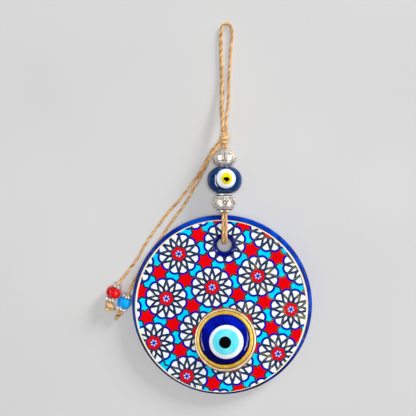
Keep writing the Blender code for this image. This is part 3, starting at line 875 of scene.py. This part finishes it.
def draw_pattern():
    """Everything printed on the face, in millimetres about the disc's centre."""
    art = Painting()
    face_middle = FACE_CENTRE / MM
    reach = FACE_RADIUS / MM + 16
    centres = []
    for i in range(-4, 5):
        for j in range(-4, 5):
            across = (i + j / 2) * ROSETTE_PITCH
            centre = Vector((across, j * ROSETTE_PITCH * sin(radians(60))))
            if (on_face(centre) - face_middle).length < reach:
                centres.append(centre)
    for centre in centres:
        for direction in (30, 90):
            paint_star(art, polar(centre, ROSETTE_PITCH / sqrt(3), direction), direction)
    for centre in centres:
        for step in range(6):
            paint_between(art, centre, step)
    for centre in centres:
        paint_rosette(art, centre)
    return art


def build_face(paints, gilt, painted_collar_shade):
    """The printed plate: its pattern cut into flat triangles, with a gilt line round the edge."""
    art = draw_pattern()
    face_middle = FACE_CENTRE / MM
    print_radius = (FACE_RADIUS - BORDER_WIDTH) / MM
    hole_middle = HOLE_CENTRE / MM
    hole_radius = FACE_CUTOUT_RADIUS / MM
    eye_middle = EYE_CENTRE / MM
    eye_radius = (BEZEL_RADIUS - 1.5 * MM) / MM
    margin = [
        face_middle + Vector(((print_radius - MARGIN) * point.x, (print_radius - 0.1) * point.y))
        for point in circle((0, 0), 1, 144, turn=0.02)
    ]
    limits = [
        circle(face_middle, print_radius, 144),
        margin,
        circle(hole_middle, hole_radius, 64),
        circle(eye_middle, eye_radius, 64),
    ]
    points, triangles = art.triangles(limits)
    names = list(paints)
    shape = Shape()
    top = FACE_TOP / MM
    shape.row([(point.x, point.y, top) for point in points])
    for corners in triangles:
        middle = sum((points[corner] for corner in corners), Vector((0, 0))) / 3
        if (middle - face_middle).length > print_radius * 0.9997:
            continue
        if (middle - hole_middle).length < hole_radius or (middle - eye_middle).length < eye_radius:
            continue
        colour = art.colour_at(middle, "cyan") if inside(middle, margin) else "cream"
        shape.face(corners, names.index(colour))
    to_world = SEAT @ Matrix.Scale(MM, 4)
    face = shape.made("printed_face", list(paints.values()), matrix=to_world, outwards=False)
    keep_used_points(face)
    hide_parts("patterned_face")
    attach(face, "disc")

    inner = FACE_RADIUS - BORDER_WIDTH
    edge = [
        (inner, FACE_BOTTOM),
        (FACE_RADIUS, FACE_BOTTOM),
        (FACE_RADIUS, FACE_TOP - 0.35 * MM),
        (FACE_RADIUS - 0.1 * MM, FACE_TOP - 0.1 * MM),
        (FACE_RADIUS - 0.35 * MM, FACE_TOP + 0.02 * MM),
        (inner, FACE_TOP),
    ]
    border = Shape()
    border.grid(turned_rows(ring_profile(edge), 144, Matrix.Translation((*FACE_CENTRE, 0))))
    flare = HOLE_FLARE_RADIUS
    # The collar round the hole takes the second material: painted shade where the glass slopes into the
    # hole.
    collar = [
        (flare - 0.3 * MM, FACE_BOTTOM),
        (FACE_CUTOUT_RADIUS, FACE_BOTTOM),
        (FACE_CUTOUT_RADIUS, FACE_TOP - 0.03 * MM),
        (FACE_CUTOUT_RADIUS - 0.3 * MM, FACE_TOP - 0.08 * MM),
        (flare + 0.4 * MM, FACE_BOTTOM + 0.55 * MM),
        (flare - 0.3 * MM, FACE_BOTTOM + 0.15 * MM),
    ]
    rows = turned_rows(ring_profile(collar), 72, Matrix.Translation((*HOLE_CENTRE, 0)))
    border.grid(rows, slots=[1] * 6)
    rim = border.made("face_border", [gilt, painted_collar_shade], matrix=SEAT)
    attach(rim, "disc")


def keep_used_points(piece):
    """Drops the points that only the left-out triangles used."""
    with editing(piece.data) as work:
        loose = [vert for vert in work.verts if not vert.link_faces]
        bmesh.ops.delete(work, geom=loose, context="VERTS")


# ---- the eye


def eye_height(radius):
    rise = EYE_PEAK_HEIGHT - EYE_EDGE_HEIGHT
    return EYE_EDGE_HEIGHT + rise * (1 - (radius / EYE_RADIUS) ** 2.6)


def build_bezel(bright, dark, warm, edge):
    """The ring round the eye, one gold: a painted highlight on the outer bead, painted shade in the groove
    and on the sides, and a broad warm inner band.

    Its opening is round and a little off the ring's centre, so the inner band is broader at the lower
    right. Its outside is slightly oval.
    """
    outer = BEZEL_RADIUS
    inner = BEZEL_INNER_RADIUS
    # Points of the ring's section, inwards from its outside in millimetres, with the metal before each.
    section = (
        (0.15, 0, edge),
        (0, 0.25, edge),
        (0, 1.0, edge),
        (0.25, 1.5, edge),
        (0.75, 1.85, edge),
        (1.15, 2.06, bright),
        (1.6, 2.02, bright),
        (1.95, 1.75, bright),
        (2.1, 1.25, dark),
        (2.3, 1.4, dark),
        (2.5, 1.95, warm),
        (2.8, 2.3, warm),
        (3.4, 2.52, warm),
        (4.1, 2.6, warm),
        (4.55, 2.5, warm),
        (4.7, 2.1, edge),
        (4.7, 0, edge),
    )
    metals = [bright, dark, warm, edge]
    profile = [(inner, 0)] + [(outer - inwards * MM, height * MM) for inwards, height, _ in section]
    rows = turned_rows(profile, 128)
    middle = Vector((*EYE_CENTRE, EYE_BASE))
    shift = (DOME_CENTRE - EYE_CENTRE).to_3d()
    for (radius, _), row in zip(profile, rows):
        share = (outer - radius) / (outer - inner)
        narrower = 1 - BEZEL_NARROWING * (1 - share)
        longer = 1 + BEZEL_LENGTHENING * (1 - share)
        oval = Matrix.Diagonal((narrower, longer, 1))
        row[:] = [middle + oval @ point + shift * share for point in row]
    shape = Shape()
    shape.grid(rows, slots=[metals.index(metal) for _, _, metal in section])
    finish_piece(shape, "bezel", metals, SEAT, "bezel_ring", "gold", "disc", 60)


def build_eye(cobalt, white, light_blue, black):
    """The glass dome, and three thin layers of coloured glass on it that are a little off centre."""
    dome = Shape()
    steps = 24
    radii = [EYE_RADIUS * (1 - step / steps) for step in range(steps + 1)]
    profile = [(0, 0), (EYE_RADIUS - 0.1 * MM, 0), (EYE_RADIUS, 0.2 * MM)]
    profile += [(EYE_RADIUS, EYE_EDGE_HEIGHT - 0.25 * MM), (EYE_RADIUS - 0.08 * MM, EYE_EDGE_HEIGHT)]
    profile += [(radius, eye_height(radius)) for radius in radii[1:]]
    dome.grid(turned_rows(profile, 128, Matrix.Translation((*DOME_CENTRE, EYE_BASE))))
    finish_piece(dome, "dome", [cobalt], SEAT, "eye_dome", "cobalt_glass", "disc", 50)

    # The middle and radius of each layer, and how far its underside and its top are above the dome
    layers = (
        ("white", "white_glass", white, (2.8, -24.85), 12.2, 0.01, 0.06),
        ("light_blue", "light_blue_glass", light_blue, (2.4, -24.55), 9.35, 0.07, 0.12),
        ("pupil", "black_glass", black, (1.85, -24.85), 4.35, 0.13, 0.2),
    )
    for colour, slot, finish, centre, radius, low, high in layers:

        def point_at(share, angle, is_top):
            size = (radius - 0.06 if is_top else radius) * share
            point = polar(centre, size, math.degrees(angle)) * MM
            lift = (high if is_top else low) * MM
            return Vector((*point, EYE_BASE + eye_height((point - DOME_CENTRE).length) + lift))

        finish_piece(
            layer(14, 96, point_at), f"dome_{colour}", [finish], SEAT, f"eye_{colour}", slot, "disc", 50
        )


# ---- large beads


def metal_bead_radius(along, reach):
    return METAL_BEAD_RADIUS * sqrt(max(0.0, 1 - (along / reach) ** 2))


def bead_profile(reach, collar_radius, collar_length, grooves):
    """A belly between two collars, with grooves turned into it, and which of its rows are dark.

    Each groove is (place, depth, width).
    """
    half = METAL_BEAD_LENGTH / 2
    belly_half = half - collar_length
    belly = []
    dark = []
    steps = 60
    for step in range(steps + 1):
        along = belly_half * sin(radians(-90 + 180 * step / steps))
        radius = metal_bead_radius(along, reach)
        in_groove = False
        for place, depth, width in grooves:
            away = abs(along - place) / width
            if away < 1:
                radius -= depth * (0.5 + 0.5 * cos(pi * away))
                in_groove = in_groove or away < 0.6
        belly.append((radius, along))
        dark.append(in_groove)
    groove = collar_radius - 0.45 * MM
    end = [
        (groove, belly_half),
        (collar_radius - 0.15 * MM, belly_half + collar_length * 0.2),
        (collar_radius, belly_half + collar_length * 0.45),
        (collar_radius - 0.1 * MM, half - 0.1 * MM),
        (collar_radius - 0.35 * MM, half),
        (BORE_RADIUS + 1.3 * MM, half),
        (BORE_RADIUS + 0.05 * MM, half - 1.3 * MM),
    ]
    end_dark = [True, True, False, False, False, True, True]
    start = [(radius, -along) for radius, along in reversed(end)]
    return start + belly + end, end_dark[::-1] + dark + end_dark


def add_bead_body(shape, profile, dark, segments=64):
    """The turned body of a silver bead, with its dark rows in the third material."""
    slots = [2 if here and following else 0 for here, following in zip(dark, [*dark[1:], dark[0]])]
    shape.grid(turned_rows(ring_profile(profile), segments), slots=slots)


def add_ball(shape, place, radius, flatten, slot, segments=10, steps=5):
    rows = turned_rows(ball_profile(radius, flatten, steps), segments, place)
    shape.grid(rows, slots=[slot] * steps)


def add_ring(shape, place, radius, wire, slot, segments=20):
    """A small torus, flat against a surface."""
    profile = arc((radius, 0), wire, 0, 360, 6)
    shape.grid(turned_rows(profile, segments, place), slots=[slot] * 6)


def on_belly(along, turn, reach, lift=0.0):
    """A frame standing on the bead's belly: its Z points out of the surface. The bead's axis is Z."""
    step = 0.05 * MM
    radius = metal_bead_radius(along, reach)
    slope = metal_bead_radius(along + step, reach) - metal_bead_radius(along - step, reach)
    out = Vector((2 * step, 0, -slope)).normalized()
    spin = Matrix.Rotation(turn, 3, "Z")
    point = spin @ Vector((radius, 0, along)) + (spin @ out) * lift
    return facing(spin @ out, point)


def build_lower_bead(silvers):
    """Old silver: rings and granules round the belly, between beaded lines."""
    reach = 7.1 * MM
    grooves = [(side * 3.35 * MM, 0.35 * MM, 0.4 * MM) for side in (-1, 1)]
    grooves += [(side * 4.95 * MM, 0.3 * MM, 0.3 * MM) for side in (-1, 1)]
    shape = Shape()
    profile, dark = bead_profile(reach, 5.4 * MM, 1.2 * MM, grooves)
    add_bead_body(shape, profile, dark)
    count = 7
    for turn in turns(count):
        place = on_belly(-0.1 * MM, turn, reach, -0.03 * MM)
        add_ring(shape, place, 1.6 * MM, 0.32 * MM, 1, 28)
        add_ring(shape, place, 1.15 * MM, 0.22 * MM, 2, 28)
        add_ball(shape, place, 0.7 * MM, 0.8, 1, 12, 6)
        place = on_belly(2.55 * MM, turn, reach)
        add_ball(shape, place, 0.5 * MM, 0.8, 1, 10, 5)
        turn += pi / count
        for along in (-1.55 * MM, 0.05 * MM, 1.65 * MM):
            place = on_belly(along, turn, reach)
            add_ball(shape, place, 0.52 * MM, 0.75, 1, 8, 4)
    for along in (-4.2 * MM, 4.2 * MM):
        for turn in turns(26):
            place = on_belly(along, turn, reach)
            add_ball(shape, place, 0.4 * MM, 0.7, 1, 7, 4)
    finish_bead(shape, "lower_silver_bead", silvers, LOWER_BEAD_MIDDLE, "lower_metal_bead")


def build_upper_bead(silvers):
    """Smoother silver: four dark seams with fine ribs beside them, and a groove in the lower third."""
    reach = 6.8 * MM
    grooves = ((-2.7 * MM, 0.3 * MM, 0.35 * MM), (4.4 * MM, 0.2 * MM, 0.3 * MM))
    shape = Shape()
    profile, dark = bead_profile(reach, 4.5 * MM, 0.6 * MM, grooves)
    add_bead_body(shape, profile, dark)
    for turn in turns(4):
        for part in range(12):
            along = (-1.9 + part * 0.46) * MM
            place = on_belly(along, turn - 0.03, reach, -0.14 * MM)
            add_ball(shape, place, 0.34 * MM, 0.7, 2, 7, 4)
        for side in (-1, 1):
            for part in range(7):
                share = part / 6
                swing = turn + side * (0.12 + 0.16 * sin(3.1 * share))
                place = on_belly((-1.5 + 4.0 * share) * MM, swing, reach, -0.08 * MM)
                add_ball(shape, place, 0.3 * MM, 0.7, 1, 6, 4)
    middle = UPPER_BEAD_MIDDLE - 0.2 * MM * ALONG
    finish_bead(shape, "upper_silver_bead", silvers, middle, "upper_metal_bead")


def finish_bead(shape, name, silvers, middle, body):
    """Stands a bead along the cord, with one of its motifs on top, and hands it to its body.

    It is drawn in round the cord until its studs are as far out as the bead's own radius.
    """
    upright = Matrix.Rotation(-pi / 2, 4, "Z")
    farthest = max(math.hypot(point[0], point[1]) for point in shape.points)
    drawn_in = METAL_BEAD_RADIUS / farthest
    place = facing(ALONG, middle) @ upright @ Matrix.Diagonal((drawn_in, drawn_in, 1, 1))
    finish_piece(shape, name, silvers, place, body, "antique_silver", body)


def nazar_outline(along):
    reach = 0.53 * NAZAR_LENGTH
    return (1 - (abs(along) / reach) ** NAZAR_ROUNDNESS) ** (1 / NAZAR_ROUNDNESS)


def nazar_top(across, along):
    share = nazar_outline(along)
    return NAZAR_HALF_HEIGHT * share * sqrt(max(0.0, 1 - (across / (NAZAR_RADIUS * share)) ** 2))


def build_nazar(dark, white, yellow, black):
    """The hand-made eye bead: a lumpy oval of dark glass with three dabs of colour."""
    half = NAZAR_LENGTH / 2
    steps = 26
    segments = 64
    bore = BORE_RADIUS + 0.1 * MM
    flatten = NAZAR_HALF_HEIGHT / NAZAR_RADIUS
    rows = []
    for step in range(steps + 1):
        height = half * sin(radians(-90 + 180 * step / steps))
        radius = NAZAR_RADIUS * nazar_outline(height)
        row = []
        for angle in turns(segments):
            across, up = radius * cos(angle), radius * sin(angle) * flatten
            # Slow lumps all over, a swelling at the upper left, and a fuller right side
            lump = 0.3 * MM * noise.noise(Vector((across, height, up)) * 130)
            to_swelling = (across + 4.4 * MM) ** 2 + (height - 8.4 * MM) ** 2
            lump += 0.75 * MM * math.exp(-to_swelling / (2.4 * MM) ** 2)
            lump += 0.45 * MM * max(0.0, cos(angle)) ** 2
            lift = 1 + lump / max(radius, 1 * MM)
            lowest = 0.08 * MM - CORD_Z
            row.append(Vector((across * lift, height, max(lowest, up * min(lift, 1.0)))))
        rows.append(row)
    ends = []
    for height in (half - 0.9 * MM, -half + 0.9 * MM):
        ends.append([Vector((bore * cos(a), height, bore * sin(a))) for a in turns(segments)])
    shape = Shape()
    shape.grid([*rows, *ends, rows[0]])
    place = Matrix.Translation(NAZAR_MIDDLE)
    finish_piece(shape, "nazar_glass", [dark], place, "nazar_bead", "dark_glass", "nazar_bead", 60)

    # The middle and radius of each dab in millimetres, its lift off the glass, its thickness and how
    # uneven its outline is. The pupil is drawn out to the left.
    dabs = (
        ("white", "white_glass", white, (0.8, 0.7), 7.0, 0.22, 0.42, 0.02),
        ("yellow", "yellow_glass", yellow, (1.25, 0.75), 4.15, 0.72, 0.3, 0.05),
        ("pupil", "black_glass", black, (1.5, 0.2), 1.9, 1.1, 0.32, 0.2),
    )
    for index, (colour, slot, finish, centre, radius, lift, thickness, uneven) in enumerate(dabs):

        def point_at(share, angle, is_top):
            crown = thickness * (0.12 + 0.88 * sqrt(1 - share**4)) if is_top else 0
            wobble = noise.noise(Vector((cos(angle) * 1.3, sin(angle) * 1.3, 5.0 + index)))
            size = radius * share * (1 - uneven + 1.6 * uneven * wobble)
            if colour == "pupil":
                size *= 1.12 + 0.45 * max(0.0, -cos(angle)) ** 6
            across, along = polar(centre, size, math.degrees(angle)) * MM
            return Vector((across, along, nazar_top(across, along) + (lift + crown) * MM))

        dab = layer(8, 48, point_at)
        name = f"nazar_{colour}"
        finish_piece(dab, f"{name}_dab", [finish], place, name, slot, "nazar_bead", 60)


# ---- charms


def build_spacer(name, centre, angle, radius, silvers, towards_bead):
    """A daisy spacer: a ring of rounded lobes with dark gaps round a small hub.

    It has slid along the twine to its bead, which lies on one side of it or the other.
    """
    shape = Shape()
    half = 0.95 * MM
    bore = CHARM_BORE_RADIUS - 0.1 * MM
    hub = [(bore, -half), (radius * 0.6, -half), (radius * 0.72, -0.5 * MM)]
    hub += [(radius * 0.72, 0.5 * MM), (radius * 0.6, half), (bore, half)]
    shape.grid(turned_rows(ring_profile(hub), 32), slots=[2] * 6)
    lobe = 0.262 * radius
    for step in range(SPACER_LOBES):
        turn = 2 * pi * (step + 0.5) / SPACER_LOBES
        out = Vector((cos(turn), sin(turn), 0)) * (radius - lobe)
        long_ball = Matrix.Translation(out) @ Matrix.Diagonal((1, 1, 1.22, 1))
        add_ball(shape, long_ball, lobe, 1.0, 1, 12, 8)
    for height in (-half, half):
        add_ring(shape, Matrix.Translation((0, 0, height)), radius * 0.5, 0.28 * MM, 1)
    slid = centre + 0.25 * MM * towards_bead * downwards(angle)
    place = facing(downwards(angle), slid)
    return finish_piece(shape, f"{name}_daisy", silvers, place, name, "antique_silver", name)


def build_charm_bead(name, centre, angle, size, finish, slot):
    length, radius, end_radius, squareness = size
    half = length / 2
    steps = 26
    belly = []
    for step in range(steps + 1):
        turn = radians(-90 + 180 * step / steps)
        reach = end_radius + (radius - end_radius) * max(0.0, cos(turn)) ** squareness
        belly.append((reach, half * sin(turn)))
    bore = CHARM_BORE_RADIUS - 0.05 * MM
    profile = [(bore, -half + 0.5 * MM), (bore + 0.3 * MM, -half), *belly]
    profile += [(bore + 0.3 * MM, half), (bore, half - 0.5 * MM)]
    shape = Shape()
    shape.grid(turned_rows(ring_profile(profile), 56))
    place = facing(downwards(angle), centre)
    return finish_piece(shape, f"{name}_glass", [finish], place, name, slot, name, 50)


def add_knot_twine(shape, place, route, radius, seed, taper=None, fuzz=0.8, lay_length=7 * MM):
    """Twine of a knot, whose route is given in millimetres in the frame of its place."""
    points = [place @ (Vector(point) * MM) for point in route]
    points = smooth_points([above_floor(point) for point in points], KNOT_STEP)
    add_twine(shape, points, radius * MM, seed, lay_length, 14, fuzz, taper)


def knot_place(start, angle):
    """The frame of an end knot at its start: X is across to the right, Y up, and Z on down the tail."""
    ahead = downwards(angle)
    right = ahead.cross(-UP)
    turn = Matrix((right, UP, ahead)).transposed()
    return Matrix.Translation(start) @ turn.to_4x4()


def build_red_end_knot(start, angle, finish, seed):
    """A lumpy overhand knot with a short frayed end to the right."""
    shape = Shape()
    place = knot_place(start, angle)
    core = [(0.0, 0.0, -0.4), (0.3, 0.1, 1.8), (0.3, 0.0, 3.8), (0.0, -0.3, 6.0)]
    add_knot_twine(shape, place, core, 1.4, seed)
    wrap = [
        (-0.9, -1.4, 1.7), (-1.5, 0.4, 2.1), (-0.4, 1.9, 2.7), (1.3, 1.8, 3.4), (2.2, 0.2, 4.0),
        (1.4, -1.5, 4.4), (-0.5, -1.6, 4.9), (-1.8, -0.1, 5.6), (-1.0, 1.3, 6.2), (0.6, 1.1, 6.6),
    ]
    add_knot_twine(shape, place, wrap, 1.4, seed + 1)
    lump = [(-1.7, -1.0, 5.0), (-1.7, -0.9, 6.4), (-1.1, -0.8, 7.6)]
    add_knot_twine(shape, place, lump, 1.35, seed + 2)
    end = [(0.5, 0.2, 5.4), (1.8, -0.2, 6.2), (3.2, -0.9, 6.6), (4.6, -1.5, 6.3)]
    add_knot_twine(shape, place, end, 1.05, seed + 3, taper=lambda share: 1.0 - 0.45 * share, fuzz=2.5)
    return finish_end_knot(shape, "red", finish)


def build_blue_end_knot(start, angle, finish, seed):
    """The cut end of the twine, tied tight and tapering, bent a little to the left."""
    shape = Shape()
    place = knot_place(start, angle)
    end = [(0.0, 0.0, -0.5), (0.2, 0.0, 1.5), (0.0, -0.6, 3.8), (-0.5, -1.5, 6.2), (-1.2, -2.2, 8.5)]
    add_knot_twine(shape, place, end, 1.95, seed, taper=lambda share: 1.05 - 0.5 * share**1.5)
    turn = [(-1.3, -0.9, 0.5), (-1.1, 1.1, 1.1), (0.7, 1.5, 1.8), (1.6, -0.2, 2.4), (0.7, -1.5, 2.8)]
    add_knot_twine(shape, place, turn, 0.8, seed + 1)
    return finish_end_knot(shape, "blue", finish)


def finish_end_knot(shape, colour, finish):
    piece = shape.made(f"{colour}_end_knot_twine", [finish])
    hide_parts(f"{colour}_end_knot")
    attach(piece, f"{colour}_tail")
    return piece


def build_tail(colour, route, centre, angles, bead, tie, twines, silvers, seed):
    """A tail of twine through its spacers and bead to its end knot."""
    upper_angle, bead_angle, lower_angle, knot_angle = angles
    bead_size, glass_finish, glass_slot, spacer_radius = bead
    reach = bead_size[0] / 2 + CHARM_GAP + SPACER_LENGTH / 2
    upper = centre - reach * downwards((upper_angle + bead_angle) / 2)
    lower = centre + reach * downwards((lower_angle + bead_angle) / 2)
    twine_end = lower + SPACER_LENGTH / 2 * downwards(lower_angle)

    threaded = [
        build_spacer(f"{colour}_upper_spacer", upper, upper_angle, spacer_radius, silvers, 1),
        build_charm_bead(f"{colour}_bead", centre, bead_angle, bead_size, glass_finish, glass_slot),
        build_spacer(f"{colour}_lower_spacer", lower, lower_angle, spacer_radius, silvers, -1),
        tie(twine_end, knot_angle, twines[1], seed + 40),
    ]
    points = smooth_points([*route, upper, centre, lower, twine_end], TWINE_STEP)
    tail = f"{colour}_tail"
    ends = {"body": tail, "far_end": "knot", "with_pieces": threaded}
    declared_twine(f"{tail}_twine", points, TWINE_RADIUS, twines[0], seed, [tail], "loose", **ends)


# ---- the cord, the knot and the loop


def declared_twine(
    name, points, radius, finish, seed, nodes, lay, taper=None, body=None, far_end="object", with_pieces=()
):
    """A length of twine, which rides one body when one is given."""
    shape = Shape()
    add_twine(shape, points, radius, seed, taper=taper)
    piece = shape.made(name, [finish])
    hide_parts(*nodes)
    if body is not None:
        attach(piece, body)
    tuple(points[0])
    length_of(points)
    [tuple(point) for point in points]
    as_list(with_pieces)
    return piece


def strand_size(share):
    """Each strand is as thick all along."""
    return STRAND_SIZE


def build_strands(finish):
    """Two long strands, each from the knot down the front, through the hole and back up behind."""
    for side, sign in (("left", -1), ("right", 1)):
        x = CORD_X + sign * STRAND_OFFSET
        route = [*reversed(FRONT_TO_KNOT), *FRONT_ON_DISC, *BACK_TO_KNOT]
        points = smooth_points([(x, y, z) for _, y, z in route], TWINE_STEP)
        nodes = [f"{side}_disc_strand", f"{side}_front_strand", f"{side}_back_strand"]
        strand = declared_twine(
            f"{side}_strand_twine", points, TWINE_RADIUS, finish, 11 + sign, nodes, "taut", strand_size
        )
        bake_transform(strand)


def loop_size(share):
    """The loop's left leg is the thicker one."""
    return 1.2 - 0.22 * min(1.0, max(0.0, (share - 0.4) / 0.15))


def build_loop(finish):
    points = smooth_points(LOOP_ROUTE, TWINE_STEP)
    loop = declared_twine(
        "loop_twine", points, LOOP_TWINE_RADIUS, finish, 31, ["hanging_loop"], "loose", loop_size
    )
    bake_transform(loop)


def build_knot(finish):
    """The big knot: thick turns of twine at a slant round the strands, one lying over the top.

    Each length of its twine is a route in millimetres from the knot's middle, a radius and a seed.
    """
    place = Matrix.Translation(KNOT_CENTRE)
    turns_of_twine = []
    for index, (x, z) in enumerate(((-1.0, -0.9), (1.0, -0.9), (-0.9, 0.9), (0.9, 0.9))):
        through = [(x, -4.8, z), (x * 0.9, -2.5, z), (x * 0.85, 0, z), (x * 0.9, 2.5, z), (x, 4.8, z)]
        turns_of_twine.append((through, 0.95, 60 + index))
    first_turn = [
        (-1.6, -3.8, -1.6), (-2.35, -3.4, 0.3), (-1.2, -3.0, 2.1), (0.7, -2.5, 2.3), (2.1, -1.7, 0.9),
        (1.9, -1.3, -1.2), (0.0, -1.2, -2.2), (-1.8, -1.3, -1.3), (-2.1, -0.9, 0.7),
    ]
    second_turn = [
        (-2.1, -1.0, 0.4), (-1.3, -0.2, 2.0), (0.5, 0.9, 2.6), (2.0, 1.7, 1.7), (2.6, 2.2, -0.2),
        (1.2, 2.2, -2.0), (-0.9, 1.9, -2.1), (-2.1, 1.6, -0.6), (-1.9, 2.0, 1.2), (-0.5, 2.9, 2.1),
        (1.0, 3.7, 1.6),
    ]
    bulge = [(0.6, -1.2, 2.1), (1.9, -0.2, 1.9), (2.6, 1.2, 1.2), (2.3, 2.9, 0.9), (1.2, 4.0, 0.8)]
    neck = [(-1.8, 3.4, -0.8), (-1.7, 3.9, 0.9), (-0.1, 4.3, 1.8), (1.5, 4.4, 1.1), (1.8, 4.1, -0.7)]
    turns_of_twine += [(first_turn, 1.15, 71), (second_turn, 1.25, 72), (bulge, 1.3, 75), (neck, 0.85, 76)]
    shape = Shape()
    for route, radius, seed in turns_of_twine:
        add_knot_twine(shape, place, route, radius, seed, fuzz=0.9, lay_length=8 * MM)
    knot = shape.made("knot_wraps", [finish], matrix=Matrix.Translation((-0.3 * MM, -1.2 * MM, 0)))
    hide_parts("main_knot")
    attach(knot, "cord")


# ---- everything


def main():
    """The stage, every material and every piece."""
    stage()

    # Painted light: the disc's glass is lighter towards +Y, on its lit upper side.
    cobalt = glass("cobalt", (0, 12, 84), (0, 40, 152), (0, 76, 206), swirl=45, painted_light_side=("Y", 0.0, 2.2))
    # Painted shade for the hole's lip and the collar round it, and painted light lower in the hole.
    painted_lip_shade = glass("painted_lip_shade_glass", (0, 4, 92), (0, 12, 116), (0, 28, 142), swirl=90)
    painted_hole_light = glass("painted_hole_light_glass", (10, 52, 176), (24, 74, 204), (48, 100, 226))
    # Painted light: the dome's glass is lighter above its middle, towards +Y.
    dome = glass("dome_cobalt", (0, 0, 92), (0, 8, 138), (0, 26, 186), 0.05, 40, painted_light_side=("Y", -0.0236, 13))
    dark = glass("nazar_dark", (0, 18, 60), (0, 52, 114), (0, 84, 150), 0.08, 120, coat=0.6)
    white = glass("white_glass", (226, 236, 246), (246, 250, 254), (255, 255, 255), 0.15)
    pale_blue = glass("light_blue_glass", (84, 222, 246), (104, 236, 252), (140, 244, 255), 0.1)
    black = glass("black_glass", (0, 0, 1), (2, 2, 4), (6, 6, 12), 0.06, coat=0.1)
    yellow = glass("yellow_glass", (222, 206, 0), (240, 224, 6), (250, 236, 40), 0.14, 200)
    red = glass("red_glass", (180, 0, 2), (232, 0, 8), (248, 4, 12), 0.1, 120, coat=0.65)
    azure = glass("azure_glass", (0, 132, 226), (0, 168, 255), (20, 192, 255), 0.3, 200, 0.1)
    # Line colours from dark to khaki gold: random patches, and a painted reflection towards the right.
    fine_line_tones_and_sheen = ((0.44, (24, 38, 62)), (0.57, (64, 70, 58)), (0.7, (140, 128, 74)))
    rosette_line_tones_and_sheen = ((0.4, (26, 42, 84)), (0.57, (44, 60, 96)), (0.7, (124, 116, 86)))
    paints = {
        "cyan": enamel("print_cyan", (0, 222, 252), (0, 204, 240)),
        "red": enamel("print_red", (240, 0, 6), (222, 0, 4)),
        "line": line_with_painted_sheen("printed_line", 0.35, 110, 1.8, *fine_line_tones_and_sheen),
        "slate": line_with_painted_sheen("slate", 0.32, 190, 1.6, *rosette_line_tones_and_sheen),
        "royal": enamel("print_royal", (0, 20, 176), (0, 12, 150)),
        "white": enamel("print_white", (252, 255, 255), (232, 240, 240)),
        "pale": enamel("print_pale", (206, 226, 250), (180, 206, 240)),
        "cream": enamel("print_cream", (250, 250, 236), (232, 232, 214)),
    }
    gilt = enamel("print_gilt", (255, 222, 104), (255, 236, 150), 0.35)
    # The bezel is one gold. Bright is its painted highlight, and groove and edge are its painted shade.
    bright = gold("bezel_painted_highlight", (236, 206, 160), (255, 248, 230), 0.3, 0.35)
    groove = gold("bezel_groove_painted_shade", (70, 34, 12), (120, 66, 26), 0.4, 0.2)
    warm = gold("bezel_warm", (250, 184, 44), (255, 220, 96), 0.28, 0.45)
    edge = gold("bezel_edge_painted_shade", (96, 52, 8), (176, 108, 26), 0.35, 0.4)
    silvers = [
        silver("old_silver", (138, 120, 110), (250, 240, 232), 0.3, 0.5),
        silver("polished_silver", (176, 166, 160), (250, 246, 242), 0.22, 0.65),
        silver("patina", (8, 5, 4), (40, 30, 26), 0.45, 0.1),
    ]
    twine = jute("jute", (126, 82, 42), (222, 168, 106), (252, 220, 168))
    knot_twine = jute("jute_knot", (104, 66, 32), (224, 176, 116), (254, 228, 178))

    build_loop(twine)
    # Each charm bead's length, radius, radius at its ends and roundness, its glass and its spacers' radius
    blue_bead = ((6.4 * MM, 4.9 * MM, 3.4 * MM, 0.6), azure, "turquoise_glass", 3.8 * MM)
    red_bead = ((7.2 * MM, 5.4 * MM, 2.2 * MM, 0.75), red, "red_glass", 3.7 * MM)
    twines = (twine, knot_twine)
    blue_line = (BLUE_TAIL_ROUTE, BLUE_CHARM_CENTRE, BLUE_CHARM_ANGLES)
    red_line = (RED_TAIL_ROUTE, RED_CHARM_CENTRE, RED_CHARM_ANGLES)
    build_tail("blue", *blue_line, blue_bead, build_blue_end_knot, twines, silvers, 80)
    build_tail("red", *red_line, red_bead, build_red_end_knot, twines, silvers, 90)
    build_strands(twine)
    build_knot(knot_twine)

    build_disc(cobalt, painted_lip_shade, painted_hole_light)
    build_face(paints, gilt, painted_lip_shade)
    build_bezel(bright, groove, warm, edge)
    build_eye(dome, white, pale_blue, black)
    build_lower_bead(silvers)
    build_upper_bead(silvers)
    build_nazar(dark, white, yellow, black)


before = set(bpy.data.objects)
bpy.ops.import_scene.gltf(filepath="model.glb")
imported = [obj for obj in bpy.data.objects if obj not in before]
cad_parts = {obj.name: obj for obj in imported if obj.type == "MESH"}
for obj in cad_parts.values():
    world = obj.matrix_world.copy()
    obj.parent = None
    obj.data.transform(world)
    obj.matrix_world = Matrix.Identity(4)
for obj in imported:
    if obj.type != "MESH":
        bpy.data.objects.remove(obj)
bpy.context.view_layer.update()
main()
